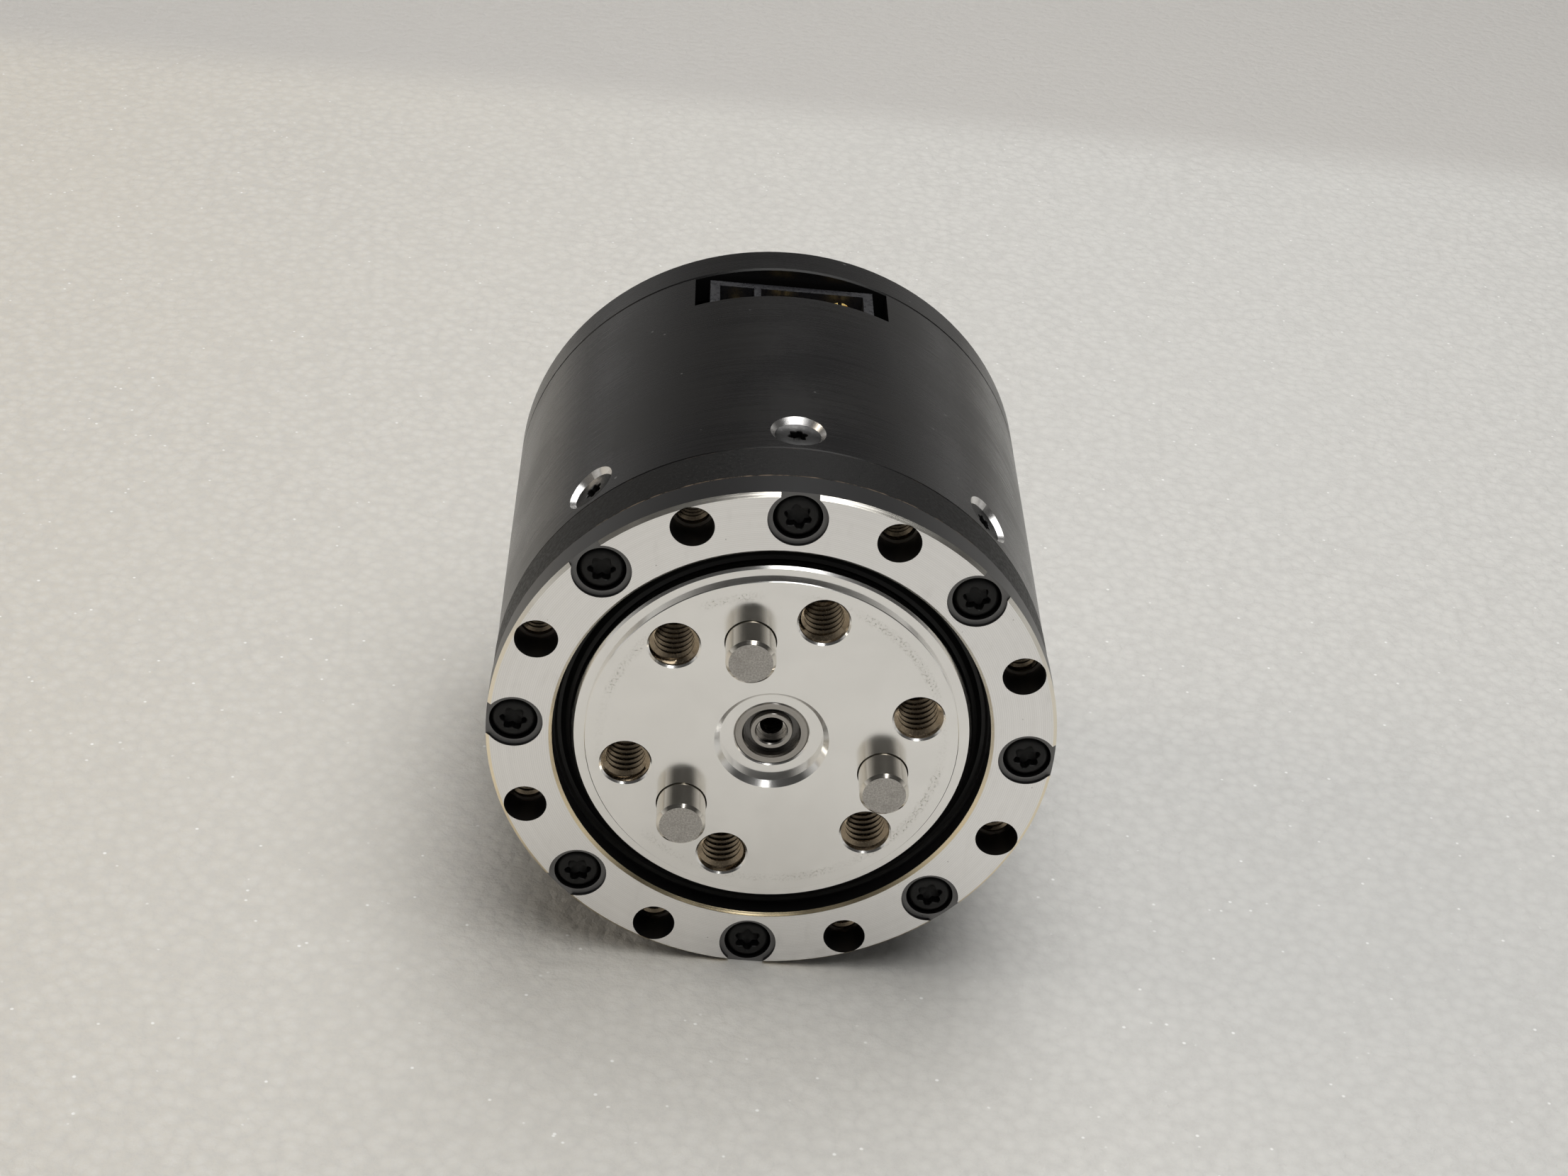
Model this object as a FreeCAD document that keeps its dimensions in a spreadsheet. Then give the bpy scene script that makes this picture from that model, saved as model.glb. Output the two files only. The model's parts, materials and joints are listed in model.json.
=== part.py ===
"""Robot joint actuator: a planetary geared servo in a round black case.

The axis of the actuator is the Y axis. The output flange faces -Y, the rear cover faces +Y
and +Z is up, on the side of the power connector. The origin is the centre of the front
mounting face. Angles are measured about +Y, from +Z towards +X. Lengths are millimetres.
"""
import FreeCAD, Part
import math
import os
import types

import Sketcher
from FreeCAD import Placement, Rotation, Vector

# ---------------------------------------------------------------- driving dimensions
SIZES = [
    # case, from front to rear
    ("body_dia", 46.0),             # front plate, outside
    ("case_step", 0.1),             # ring gear flange, smaller in radius than the plate
    ("housing_step", 0.15),         # motor housing and cover, smaller than the plate
    ("plate_thick", 2.95),          # front plate
    ("case_flange", 4.55),          # ring gear flange seen between plate and housing
    ("housing_length", 32.2),
    ("cover_length", 4.0),
    ("cover_floor", 2.0),
    ("housing_wall", 1.6),          # over the gear spigot and the stator
    ("rear_step", 0.65),            # the rear of the bore is this much smaller in radius
    ("edge_break", 0.15),           # chamfer on the case joints
    ("face_chamfer", 0.3),          # chamfer round the front face
    ("cover_chamfer", 0.5),
    ("slip", 0.05),                 # radial gap of parts that slide into the housing
    ("fit_gap", 0.01),              # radial gap of pressed parts
    ("run_gap", 0.03),              # radial gap of running fits
    # front mounting face
    ("mount_edge", 2.0),            # from the rim to the circle of mounting holes
    ("mount_count", 8),
    ("mount_hole_dia", 3.5),
    ("mount_thread_dia", 3.0),
    ("thread_depth", 4.1),
    ("pocket_dia", 4.75),
    ("pocket_depth", 1.75),
    ("pocket_step", 0.35),          # depth of the pocket's wide mouth, open to the rim
    ("pocket_notch", 3.0),          # width of the mouth's slot to the rim
    ("screw_edge", 2.2),            # from the rim to the circle of plate screws
    ("plate_screw_dia", 2.5),
    ("plate_screw_head", 3.8),
    ("plate_screw_gap", 0.05),      # round the head, in the pocket
    ("plate_screw_head_tall", 1.35),
    ("plate_screw_long", 5.1),
    ("button_flat", 0.62),          # flat top of a button head, of its diameter
    ("button_brow", 0.88),          # where the crown turns down, of its diameter
    ("button_crown", 0.35),         # height from the brow to the flat
    ("button_side", 0.4),           # height of the head's straight side, of its height
    ("screw_clear", 0.2),           # added to a screw's diameter in its plain hole
    ("thread_gap", 0.04),           # added to a screw's diameter in its tapped hole
    ("head_clear", 0.1),            # radial clearance of a countersunk head
    ("head_sunk", 0.05),            # a countersunk head below the surface
    ("torx_across", 2.2),
    ("torx_deep", 0.9),
    ("torx_waist", 0.74),           # across the waists of a recess, of its full width
    ("torx_lobes", 6),
    # output flange, seal and output bearing
    ("screw_wall", 1.05),           # between the plate screws and the output bearing
    ("bearing_cover", 0.8),         # the plate laps this far over the output bearing
    ("bearing_lip", 0.8),           # shoulder behind the output bearing
    ("seal_space", 1.55),           # radial space of the seal
    ("seal_chamfer", 0.25),
    ("seal_recess", 1.4),
    ("seal_edge", 0.15),            # bevels of the rubber
    ("seal_groove", 0.35),          # depth of the valley round the seal's front
    ("seal_body", 1.0),             # radial thickness of the pressed-in part
    ("seal_web", 0.45),             # thickness of the web behind the lip
    ("seal_gap", 0.05),             # between the seal and the gear case
    ("ledge_width", 1.05),          # from the flange's rim to its raised face
    ("journal_step", 1.15),         # from the flange's rim to the bearing's journal
    ("face_edge", 0.06),            # edge break round the raised face
    ("ledge_depth", 0.5),
    ("ledge_chamfer", 0.2),
    ("bearing_width", 4.0),
    ("bearing_ring", 1.2),          # radial thickness of each bearing ring
    ("shield_gap", 0.1),            # between a bearing's shield and its inner ring
    ("shield_inset", 0.04),         # of the bearing's width
    ("shield_thick", 0.06),         # of the bearing's width
    ("clip_thick", 0.7),
    ("clip_seat", 0.4),             # depth of the retaining ring's groove
    ("clip_tall", 1.3),
    ("clip_land", 0.5),             # wall of the carrier behind the retaining ring
    ("clip_mouth_angle", 25.0),
    ("output_thread_edge", 3.1),    # from the circle of threads to the rim of the raised face
    ("output_thread_dia", 4.0),
    ("output_thread_deep", 6.2),
    ("output_thread_chamfer", 0.15),
    ("output_angle", -15.45),       # direction of the first pin when at rest
    # centre of the flange
    ("centre_dia", 8.4),
    ("centre_deep", 1.0),
    ("centre_chamfer", 0.43),
    ("small_bearing_dia", 6.0),
    ("small_bearing_bore", 2.5),
    ("small_bearing_width", 2.6),
    ("small_outer_ring", 0.7),
    ("small_inner_ring", 0.47),
    ("small_inner_recess", 0.35),
    ("small_bearing_sunk", 0.05),   # below the floor of the recess
    ("small_chamfer", 0.1),
    ("small_shield_deep", 0.5),     # behind the face of the inner ring
    ("small_shield_thick", 0.15),
    # planetary gears
    ("gear_wall", 6.0),             # metal outside the roots of the ring gear's teeth
    ("pin_dia", 4.0),
    ("pin_proud", 3.0),
    ("pin_chamfer", 0.25),
    ("pin_mouth_gap", 0.09),        # round the pin, in the countersink at its foot
    ("pin_shank_dia", 3.6),         # pressed into the flange, and the planet's journal
    ("planet_count", 3),
    ("teeth_step", 5),              # sun and planet teeth for each planet
    ("pressure_angle", 20.0),
    ("backlash", 0.06),             # taken off each tooth along the pitch circle
    ("gear_addendum", 1.0),         # in modules
    ("ring_addendum", 0.68),
    ("gear_dedendum", 1.25),
    ("planet_width", 4.8),
    ("planet_gap", 0.25),
    ("bush_wall", 0.6),
    ("carrier_plate_thick", 1.85),
    ("carrier_plate_gap", 0.4),     # between the plate and the tips of the gears around it
    ("post_edge", 1.6),             # from the posts to the tips of the ring gear
    ("gear_length", 5.8),           # toothed length of the ring gear
    ("carrier_screw_dia", 2.0),
    ("carrier_screw_long", 5.0),
    # radial screws that hold the ring gear in the housing
    ("radial_screw_dia", 2.0),
    ("radial_screw_head", 3.8),
    ("radial_screw_long", 1.8),     # below the head
    ("radial_torx_across", 1.65),
    ("radial_torx_deep", 0.63),
    ("radial_screw_y", 2.9),        # behind the front edge of the housing
    ("radial_sink_dia", 4.68),      # 90 degree countersink at the surface
    ("drill_past", 0.15),           # blind tapped holes go this far past the screw
    # motor
    ("rotor_bearing_dia", 12.0),
    ("rotor_bearing_bore", 6.0),
    ("rotor_bearing_width", 3.0),
    ("rotor_ring", 0.95),
    ("web_gap", 0.4),               # between the carrier and the front bearing plate
    ("web_thick", 1.6),
    ("bearing_seat_lip", 0.6),
    ("rear_seat_lip", 0.7),
    ("hub_wall", 2.0),
    ("rim_wall", 1.0),
    ("stator_thick", 9.2),          # radial, yoke and teeth
    ("slot_count", 12),
    ("tooth_width", 3.4),
    ("slot_mouth", 1.8),
    ("shoe_edge", 0.8),             # thickness of a tooth's shoe at the slot
    ("shoe_thick", 1.2),            # thickness of a tooth's shoe beside the tooth
    ("yoke_thick", 3.4),
    ("coil_split", 0.5),            # half the gap between neighbouring coils
    ("coil_end", 1.5),
    ("coil_deep", 3.3),
    ("coil_gap", 0.6),              # between the coil and the yoke
    ("air_gap", 0.4),
    ("magnet_thick", 1.4),
    ("magnet_count", 10),
    ("magnet_angle", 32.0),
    ("rotor_holes", 6),
    ("rotor_hole_share", 0.62),     # of the core's radial width
    ("rotor_end_gap", 0.4),
    ("shaft_shoulder_dia", 7.2),
    ("sun_shaft_dia", 5.0),
    ("shaft_bore", 1.9),
    ("nose_step", 0.35),            # shoulder behind the centre bearing
    ("neck_long", 0.75),
    ("nose_sunk", 1.05),            # the shaft's nose behind the face of the inner ring
    ("shaft_clear", 0.25),          # radial gap where the shaft passes a plate
    ("encoder_magnet_dia", 4.0),
    ("encoder_magnet_tall", 2.0),
    ("holder_wall", 0.38),
    ("holder_floor", 0.7),
    ("magnet_proud", 0.3),          # the magnet out of the end of the shaft
    ("encoder_gap", 0.5),
    # electronics
    ("board_thick", 1.6),
    ("standoff_tall", 1.8),
    ("standoff_dia", 4.4),
    ("standoff_edge", 3.7),         # from the board's rim
    ("standoff_root", 0.5),         # its root inside the bearing plate
    ("small_screw_dia", 2.0),
    ("small_screw_head", 3.6),
    ("small_head_tall", 1.2),
    ("small_head_bevel", 0.3),
    ("board_edge_gap", 0.4),
    ("chip_tall", 0.9),
    ("encoder_chip_side", 5.0),
    ("controller_side", 7.0),
    ("transistor_side", 3.2),
    ("transistor_count", 6),
    ("transistor_edge", 8.7),       # from the board's rim
    ("capacitor_dia", 5.0),
    ("capacitor_tall", 5.2),
    ("capacitor_edge", 4.7),        # from the board's rim
    ("capacitor_angle", 120.0),
    ("lead_dia", 1.2),
    ("lead_clear", 0.3),
    # rear cover screws
    ("cover_screw_count", 4),
    ("cover_screw_edge", 1.8),      # from the rear bore to the circle of screws
    ("cover_screw_long", 6.0),
    ("cover_boss_dia", 4.8),
    ("cover_boss_tall", 3.7),
    ("boss_root", 0.2),             # the cover's bosses inside its floor
    # power connector, mating upwards
    ("aperture_wide", 16.9),
    ("aperture_gap", 0.1),          # aperture's front edge, ahead of the connector
    ("shell_wide", 14.3),
    ("shell_deep", 4.7),            # along the axis of the actuator
    ("shell_low", 1.4),             # its rim below the housing's outside
    ("shell_tall", 8.45),
    ("shell_wall", 0.85),
    ("shell_divider", 0.6),         # wall between the two sockets
    ("shell_behind", 0.6),          # from the connector to the rear of the housing
    ("pin_root", 1.5),              # the pins below the sockets' floor
    ("socket_deep", 4.6),
    ("signal_socket", 3.0),         # width of the signal pins' socket
    ("flange_wide", 15.6),
    ("flange_thick", 0.7),
    ("flange_low", 0.4),            # its top below the shell's rim
    ("power_pin_dia", 2.0),
    ("power_pin_pitch", 5.0),
    ("power_pin_x", -0.74),         # the first power pin, from the middle
    ("power_pin_low", 0.3),         # its tip below the shell's rim
    ("pin_slot", 0.35),
    ("pin_slot_deep", 2.4),
    ("power_pin_chamfer", 0.35),
    ("signal_pin_side", 0.64),
    ("signal_pin_pitch", 1.8),
    ("signal_pin_low", 1.4),
]

doc = FreeCAD.newDocument("JointActuator")
sheet = doc.addObject("Spreadsheet::Sheet", "sizes")


class Dim:
    """A length or an angle: its value, and the formula on the sheet that gives it."""

    def __init__(self, value, formula):
        self.value = float(value)
        self.formula = formula

    def __add__(self, other):
        other = dim(other)
        return Dim(self.value + other.value, f"({self.formula} + {other.formula})")

    def __sub__(self, other):
        other = dim(other)
        return Dim(self.value - other.value, f"({self.formula} - {other.formula})")

    def __mul__(self, other):
        other = dim(other)
        return Dim(self.value * other.value, f"({self.formula} * {other.formula})")

    def __truediv__(self, other):
        other = dim(other)
        return Dim(self.value / other.value, f"({self.formula} / {other.formula})")

    def __neg__(self):
        return Dim(-self.value, f"(0 - {self.formula})")

    def __radd__(self, other):
        return dim(other) + self

    def __rsub__(self, other):
        return dim(other) - self

    def __rmul__(self, other):
        return dim(other) * self

    def __rtruediv__(self, other):
        return dim(other) / self


def dim(number):
    """A plain number as a Dim, and a Dim as it is."""
    return number if isinstance(number, Dim) else Dim(number, f"{number:.6f}")


def sine(angle):
    angle = dim(angle)
    return Dim(math.sin(math.radians(angle.value)), f"sin({angle.formula})")


def cosine(angle):
    angle = dim(angle)
    return Dim(math.cos(math.radians(angle.value)), f"cos({angle.formula})")


s = types.SimpleNamespace()
for row, (word, number) in enumerate(SIZES, start=1):
    sheet.set(f"A{row}", str(number))
    sheet.setAlias(f"A{row}", word)
    setattr(s, word, Dim(number, f"sizes.{word}"))
doc.recompute()

half_turn = 180.0
full_turn = 360.0
overrun = 1.0                       # how far a cut runs past the metal

# ---------------------------------------------------------------- stations along the axis
case_front = s.plate_thick
housing_front = case_front + s.case_flange
housing_rear = housing_front + s.housing_length
cover_rear = housing_rear + s.cover_length
bearing_rear = case_front + s.bearing_width
gear_rear = housing_front + s.gear_length
carrier_rear = bearing_rear + s.clip_thick + s.clip_land
planet_front = carrier_rear + s.planet_gap
planet_rear = planet_front + s.planet_width
carrier_plate_front = planet_rear + s.planet_gap
carrier_plate_rear = carrier_plate_front + s.carrier_plate_thick
web_front = carrier_plate_rear + s.web_gap
front_seat = web_front + s.bearing_seat_lip
stator_front = front_seat + s.rotor_bearing_width
board_rear = housing_rear - s.shell_behind - s.shell_deep
board_front = board_rear - s.board_thick
rear_plate_end = board_front - s.standoff_tall
rear_seat_end = rear_plate_end - s.rear_seat_lip
stator_rear = rear_seat_end - s.rotor_bearing_width
chip_front = board_front - s.chip_tall
magnet_end = chip_front - s.encoder_gap
sun_rear = carrier_plate_front + s.carrier_plate_thick / 2
shaft_front = s.centre_deep + s.small_inner_recess + s.nose_sunk
shaft_end = magnet_end - s.magnet_proud
small_bearing_front = s.centre_deep + s.small_bearing_sunk
small_bearing_rear = small_bearing_front + s.small_bearing_width

# ---------------------------------------------------------------- radii
plate_radius = s.body_dia / 2
case_radius = plate_radius - s.case_step
housing_radius = plate_radius - s.housing_step
housing_bore = housing_radius - s.housing_wall
inner_radius = housing_bore - s.slip
rear_bore = housing_bore - s.rear_step
board_radius = rear_bore - s.board_edge_gap
standoff_circle = board_radius - s.standoff_edge
cover_screw_circle = rear_bore - s.cover_screw_edge
mount_radius = plate_radius - s.mount_edge
pin_radius = s.pin_dia / 2
pin_shank = s.pin_shank_dia / 2
screw_circle = plate_radius - s.screw_edge
bearing_outer = screw_circle - s.plate_screw_dia / 2 - s.screw_wall
seal_bore = bearing_outer - s.bearing_cover
flange_radius = seal_bore - s.seal_space
face_radius = flange_radius - s.ledge_width
thread_circle = face_radius - s.output_thread_edge
journal = flange_radius - s.journal_step
shell_top = housing_radius - s.shell_low
shell_bottom = shell_top - s.shell_tall
stator_bore = inner_radius - s.stator_thick
radial_screw_y = housing_front + s.radial_screw_y
sink_apex = housing_radius - s.radial_sink_dia / 2
radial_screw_tip = sink_apex + s.radial_screw_dia / 2 - s.radial_screw_long
magnet_radius = stator_bore - s.air_gap
core_radius = magnet_radius - s.magnet_thick
coil_outer = inner_radius - s.yoke_thick - s.coil_gap
coil_inner = coil_outer - s.coil_deep
lead_circle = (coil_inner + coil_outer) / 2
lead_turn = half_turn / s.slot_count * 5    # over the third coil, and every fourth from it

# ---------------------------------------------------------------- gear train
planets = int(s.planet_count.value)
sun_teeth = int(s.planet_count.value * s.teeth_step.value)
planet_teeth = sun_teeth
ring_teeth = sun_teeth + 2 * planet_teeth
module = (inner_radius - s.gear_wall) / (ring_teeth / 2 + s.gear_dedendum)
carrier_radius = module * (sun_teeth + planet_teeth) / 2
ring_tip = module * (ring_teeth / 2 - s.ring_addendum)
sun_tip = module * (sun_teeth / 2 + s.gear_addendum)
post_radius = ring_tip - carrier_radius - s.post_edge


# ---------------------------------------------------------------- drawing helpers
def set_label(obj, name, turn=None):
    """Names a sub-part, and turns it about the Y axis where an angle is given."""
    obj.Label = name
    if turn is not None:
        obj.Placement = Placement(Vector(0, 0, 0), Rotation(Vector(0, 1, 0), turn.value))
        obj.setExpression("Placement.Rotation.Angle", turn.formula)
    return obj


def new_body(name, turn=None):
    body = doc.addObject("PartDesign::Body", name)
    body.AllowCompound = True
    return set_label(body, name, turn)


def origin_feature(body, role):
    return next(item for item in body.Origin.OriginFeatures if item.Role == role)


def new_sketch(body, role, offset=None, turn=None):
    """A sketch on one of the body's origin planes, moved along its normal by offset.

    A turn rotates the sketch about its own X axis: on YZ_Plane, that is the Y axis.
    """
    sketch = body.newObject("Sketcher::SketchObject", body.Name + "_sketch")
    sketch.AttachmentSupport = (origin_feature(body, role), [""])
    sketch.MapMode = "FlatFace"
    if turn is not None:
        sketch.AttachmentOffset = Placement(Vector(0, 0, 0), Rotation(Vector(1, 0, 0), turn.value))
        sketch.setExpression("AttachmentOffset.Rotation.Angle", turn.formula)
    if offset is not None:
        sketch.setExpression("AttachmentOffset.Base.z", offset.formula)
    return sketch


def pin_down(sketch, item, end, point):
    """Holds one end of a sketch line at a point whose coordinates are Dims."""
    for kind, axis, place in (("DistanceX", -2, dim(point[0])), ("DistanceY", -1, dim(point[1]))):
        if abs(place.value) < 1e-9:
            sketch.addConstraint(Sketcher.Constraint("PointOnObject", item, end, axis))
            continue
        ends = (-1, 1, item, end) if place.value > 0 else (item, end, -1, 1)
        size = place if place.value > 0 else -place
        index = sketch.addConstraint(Sketcher.Constraint(kind, *ends, size.value))
        sketch.setExpression(f"Constraints[{index}]", size.formula)


def draw_loop(sketch, points):
    """A closed outline of straight lines through the points."""
    places = [Vector(dim(x).value, dim(y).value, 0) for x, y in points]
    first = sketch.GeometryCount
    count = len(points)
    for i in range(count):
        sketch.addGeometry(Part.LineSegment(places[i], places[(i + 1) % count]), False)
    for i in range(count):
        after = first + (i + 1) % count
        sketch.addConstraint(Sketcher.Constraint("Coincident", first + i, 2, after, 1))
    for i in range(count):
        pin_down(sketch, first + i, 1, points[i])


def draw_axis(sketch, start, end):
    """A construction line to turn a profile about."""
    places = [Vector(dim(x).value, dim(y).value, 0) for x, y in (start, end)]
    item = sketch.addGeometry(Part.LineSegment(*places), True)
    pin_down(sketch, item, 1, start)
    pin_down(sketch, item, 2, end)


def rectangle(x0, x1, y0, y1):
    return [(x0, y0), (x1, y0), (x1, y1), (x0, y1)]


def repeat(body, features, count):
    """Spaces features evenly about the Y axis."""
    pattern = body.newObject("PartDesign::PolarPattern", body.Name + "_pattern")
    pattern.Originals = features
    pattern.Axis = (origin_feature(body, "Y_Axis"), [""])
    pattern.Angle = full_turn
    pattern.setExpression("Occurrences", count.formula)
    body.Tip = pattern
    return pattern


def spin(body, sketch, axis, kind, angle=full_turn):
    feature = body.newObject("PartDesign::" + kind, body.Name + "_" + kind.lower())
    feature.Profile = sketch
    feature.ReferenceAxis = (sketch, [axis])
    feature.Angle = angle
    return feature


def turned(name, points, turn=None):
    """A body turned about the Y axis, from points of (radius, y)."""
    body = new_body(name, turn)
    sketch = new_sketch(body, "XY_Plane")
    draw_loop(sketch, points)
    spin(body, sketch, "V_Axis", "Revolution")
    return body


def bar(body, radius, steps, kind="Groove", count=None, turn=None):
    """A round bar or hole parallel to the Y axis, from steps of (y, radius of the bar)."""
    sketch = new_sketch(body, "YZ_Plane", turn=turn)
    first = (steps[0][0], radius)
    last = (steps[-1][0], radius)
    draw_loop(sketch, [first] + [(y, radius + r) for y, r in steps] + [last])
    draw_axis(sketch, first, last)
    feature = spin(body, sketch, "Axis0", kind)
    if count is not None:
        repeat(body, [feature], count)
    return feature


def radial_bar(body, station, steps, kind="Groove", count=None):
    """A round bar or hole along +Z at one y, from steps of (height, radius of the bar)."""
    sketch = new_sketch(body, "YZ_Plane")
    first = (station, steps[0][0])
    last = (station, steps[-1][0])
    draw_loop(sketch, [first] + [(station + r, height) for height, r in steps] + [last])
    draw_axis(sketch, first, last)
    feature = spin(body, sketch, "Axis0", kind)
    if count is not None:
        repeat(body, [feature], count)
    return feature


def pocket(body, points, front, depth):
    """Cuts an outline of (x, z) points from a station on the Y axis, towards +Y."""
    sketch = new_sketch(body, "XZ_Plane", offset=-dim(front))
    draw_loop(sketch, points)
    feature = body.newObject("PartDesign::Pocket", body.Name + "_pocket")
    feature.Profile = sketch
    feature.setExpression("Length", dim(depth).formula)
    return feature


def pad(body, points, rear, depth):
    """Adds an outline of (x, z) points from a station on the Y axis, towards -Y."""
    sketch = new_sketch(body, "XZ_Plane", offset=-dim(rear))
    draw_loop(sketch, points)
    feature = body.newObject("PartDesign::Pad", body.Name + "_pad")
    feature.Profile = sketch
    feature.setExpression("Length", dim(depth).formula)
    return feature


def block(name, x0, x1, y0, y1, z0, z1):
    """A Part box between two corners."""
    box = doc.addObject("Part::Box", name)
    for letter, low, high, side in (("x", x0, x1, "Length"), ("y", y0, y1, "Width"),
                                    ("z", z0, z1, "Height")):
        box.setExpression(f"Placement.Base.{letter}", dim(low).formula)
        box.setExpression(side, (dim(high) - dim(low)).formula)
    return set_label(box, name)


def star(across, centre_height):
    """A six-lobed driver recess, drawn as a star about (0, centre_height)."""
    corners = []
    for i in range(2 * int(s.torx_lobes.value)):
        radius = across / 2 if i % 2 == 0 else across / 2 * s.torx_waist
        angle = half_turn * i / s.torx_lobes
        corners.append((radius * sine(angle), centre_height + radius * cosine(angle)))
    return corners


def screw_steps(seat, head_dia, head_tall, screw_dia, length):
    """Profile of a button head screw whose head stands towards -Y from its seat."""
    top = seat - head_tall
    head = head_dia / 2
    return [(top, head * s.button_flat), (top + s.button_crown, head * s.button_brow),
            (seat - head_tall * s.button_side, head), (seat, head),
            (seat, screw_dia / 2), (seat + length, screw_dia / 2)]


# ---------------------------------------------------------------- case
def make_front_plate():
    """Mounting plate that keeps the output bearing; its screw pockets widen to the rim."""
    rim = plate_radius
    body = turned("front_plate", [
        (seal_bore + s.seal_chamfer, 0), (rim - s.face_chamfer, 0), (rim, s.face_chamfer),
        (rim, s.plate_thick - s.edge_break), (rim - s.edge_break, s.plate_thick),
        (seal_bore, s.plate_thick), (seal_bore, s.seal_chamfer)])
    notch = pocket(body, rectangle(-s.pocket_notch / 2, s.pocket_notch / 2,
                                   screw_circle, screw_circle + s.pocket_dia), 0, s.pocket_step)
    mouth = s.pocket_dia / 2
    well = s.plate_screw_head / 2 + s.plate_screw_gap
    hole = (s.plate_screw_dia + s.screw_clear) / 2
    seat = bar(body, screw_circle, [
        (dim(0), mouth), (s.pocket_step, mouth), (s.pocket_step, well), (s.pocket_depth, well),
        (s.pocket_depth, hole), (s.plate_thick, hole)])
    repeat(body, [notch, seat], s.mount_count)
    bar(body, mount_radius, [(dim(0), s.mount_hole_dia / 2), (s.plate_thick, s.mount_hole_dia / 2)],
        count=s.mount_count, turn=half_turn / s.mount_count)


def make_front_screws():
    body = new_body("front_screws")
    seat = s.pocket_depth
    shank = bar(body, screw_circle, screw_steps(
        seat, s.plate_screw_head, s.plate_screw_head_tall, s.plate_screw_dia,
        s.plate_screw_long), kind="Revolution")
    recess = pocket(body, star(s.torx_across, screw_circle), seat - s.plate_screw_head_tall,
                    s.torx_deep)
    repeat(body, [shank, recess], s.mount_count)


def involute(angle):
    return math.tan(angle) - angle


def gear_outline(teeth, pitch_radius, root_radius, tip_radius, thickness, turn, steps=3):
    """Corners of a spur gear with involute flanks, as (x, z), one tooth at the angle turn.

    thickness is the tooth's thickness along the pitch circle.
    """
    pressure = math.radians(s.pressure_angle.value)
    base_radius = pitch_radius * math.cos(pressure)
    low = max(base_radius, root_radius)
    flank = []
    if root_radius < base_radius:
        flank.append((root_radius, base_radius))
    for i in range(steps + 1):
        radius = low + (tip_radius - low) * i / steps
        flank.append((radius, radius))
    corners = []
    for radius, involute_radius in flank:
        local = math.acos(min(1.0, base_radius / involute_radius))
        half = thickness / (2 * pitch_radius) + involute(pressure) - involute(local)
        corners.append((radius, half))
    outline = []
    for tooth in range(teeth):
        middle = math.radians(turn) + 2 * math.pi * tooth / teeth
        outline += [(radius, middle - half) for radius, half in corners]
        outline += [(radius, middle + half) for radius, half in reversed(corners)]
    return [(radius * math.sin(angle), radius * math.cos(angle)) for radius, angle in outline]


def extruded(points, front, rear):
    """A solid between two stations on the Y axis from corners of (x, z)."""
    corners = [Vector(x, front, z) for x, z in points]
    face = Part.Face(Part.makePolygon(corners + corners[:1]))
    return face.extrude(Vector(0, rear - front, 0))


def make_ring_gear():
    """Gear case: flange with the threads, bearing seat, and a spigot with the inner teeth."""
    rim = case_radius
    lip = bearing_outer - s.bearing_lip
    blank = turned("ring_gear_blank", [
        (bearing_outer, case_front), (rim - s.edge_break, case_front),
        (rim, case_front + s.edge_break), (rim, housing_front - s.edge_break),
        (rim - s.edge_break, housing_front), (inner_radius, housing_front),
        (inner_radius, gear_rear), (ring_tip, gear_rear), (ring_tip, planet_front),
        (lip, planet_front), (lip, bearing_rear), (bearing_outer, bearing_rear)])
    tapped = (s.plate_screw_dia + s.thread_gap) / 2
    bar(blank, screw_circle, [(case_front, tapped), (case_front + s.thread_depth, tapped)],
        count=s.mount_count)
    bar(blank, mount_radius, [(case_front, s.mount_thread_dia / 2),
                              (case_front + s.thread_depth, s.mount_thread_dia / 2)],
        count=s.mount_count, turn=half_turn / s.mount_count)
    screw_hole = (s.radial_screw_dia + s.thread_gap) / 2
    radial_bar(blank, radial_screw_y, [(radial_screw_tip - s.drill_past, screw_hole),
                                       (inner_radius + overrun, screw_hole)],
               count=s.mount_count)
    spaces = doc.addObject("Part::Feature", "ring_gear_spaces")
    pitch_radius = (module * ring_teeth / 2).value
    root = (inner_radius - s.gear_wall).value
    thickness = math.pi * module.value / 2 + s.backlash.value
    outline = gear_outline(ring_teeth, pitch_radius, ring_tip.value, root, thickness, 0)
    spaces.Shape = extruded(outline, bearing_rear.value, gear_rear.value + overrun)
    cut = doc.addObject("Part::Cut", "ring_gear")
    cut.Base = blank
    cut.Tool = spaces
    set_label(cut, "ring_gear")


def make_ring_gear_screws():
    body = new_body("ring_gear_screws")
    shank = s.radial_screw_dia / 2
    head = s.radial_screw_head / 2
    screw = radial_bar(body, radial_screw_y, [
        (radial_screw_tip, shank), (sink_apex + shank, shank), (sink_apex + head, head)],
        kind="Revolution")
    sketch = new_sketch(body, "XY_Plane", offset=sink_apex + head)
    draw_loop(sketch, star(s.radial_torx_across, radial_screw_y))
    recess = body.newObject("PartDesign::Pocket", "ring_gear_screws_recess")
    recess.Profile = sketch
    recess.setExpression("Length", s.radial_torx_deep.formula)
    repeat(body, [screw, recess], s.mount_count)


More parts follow.
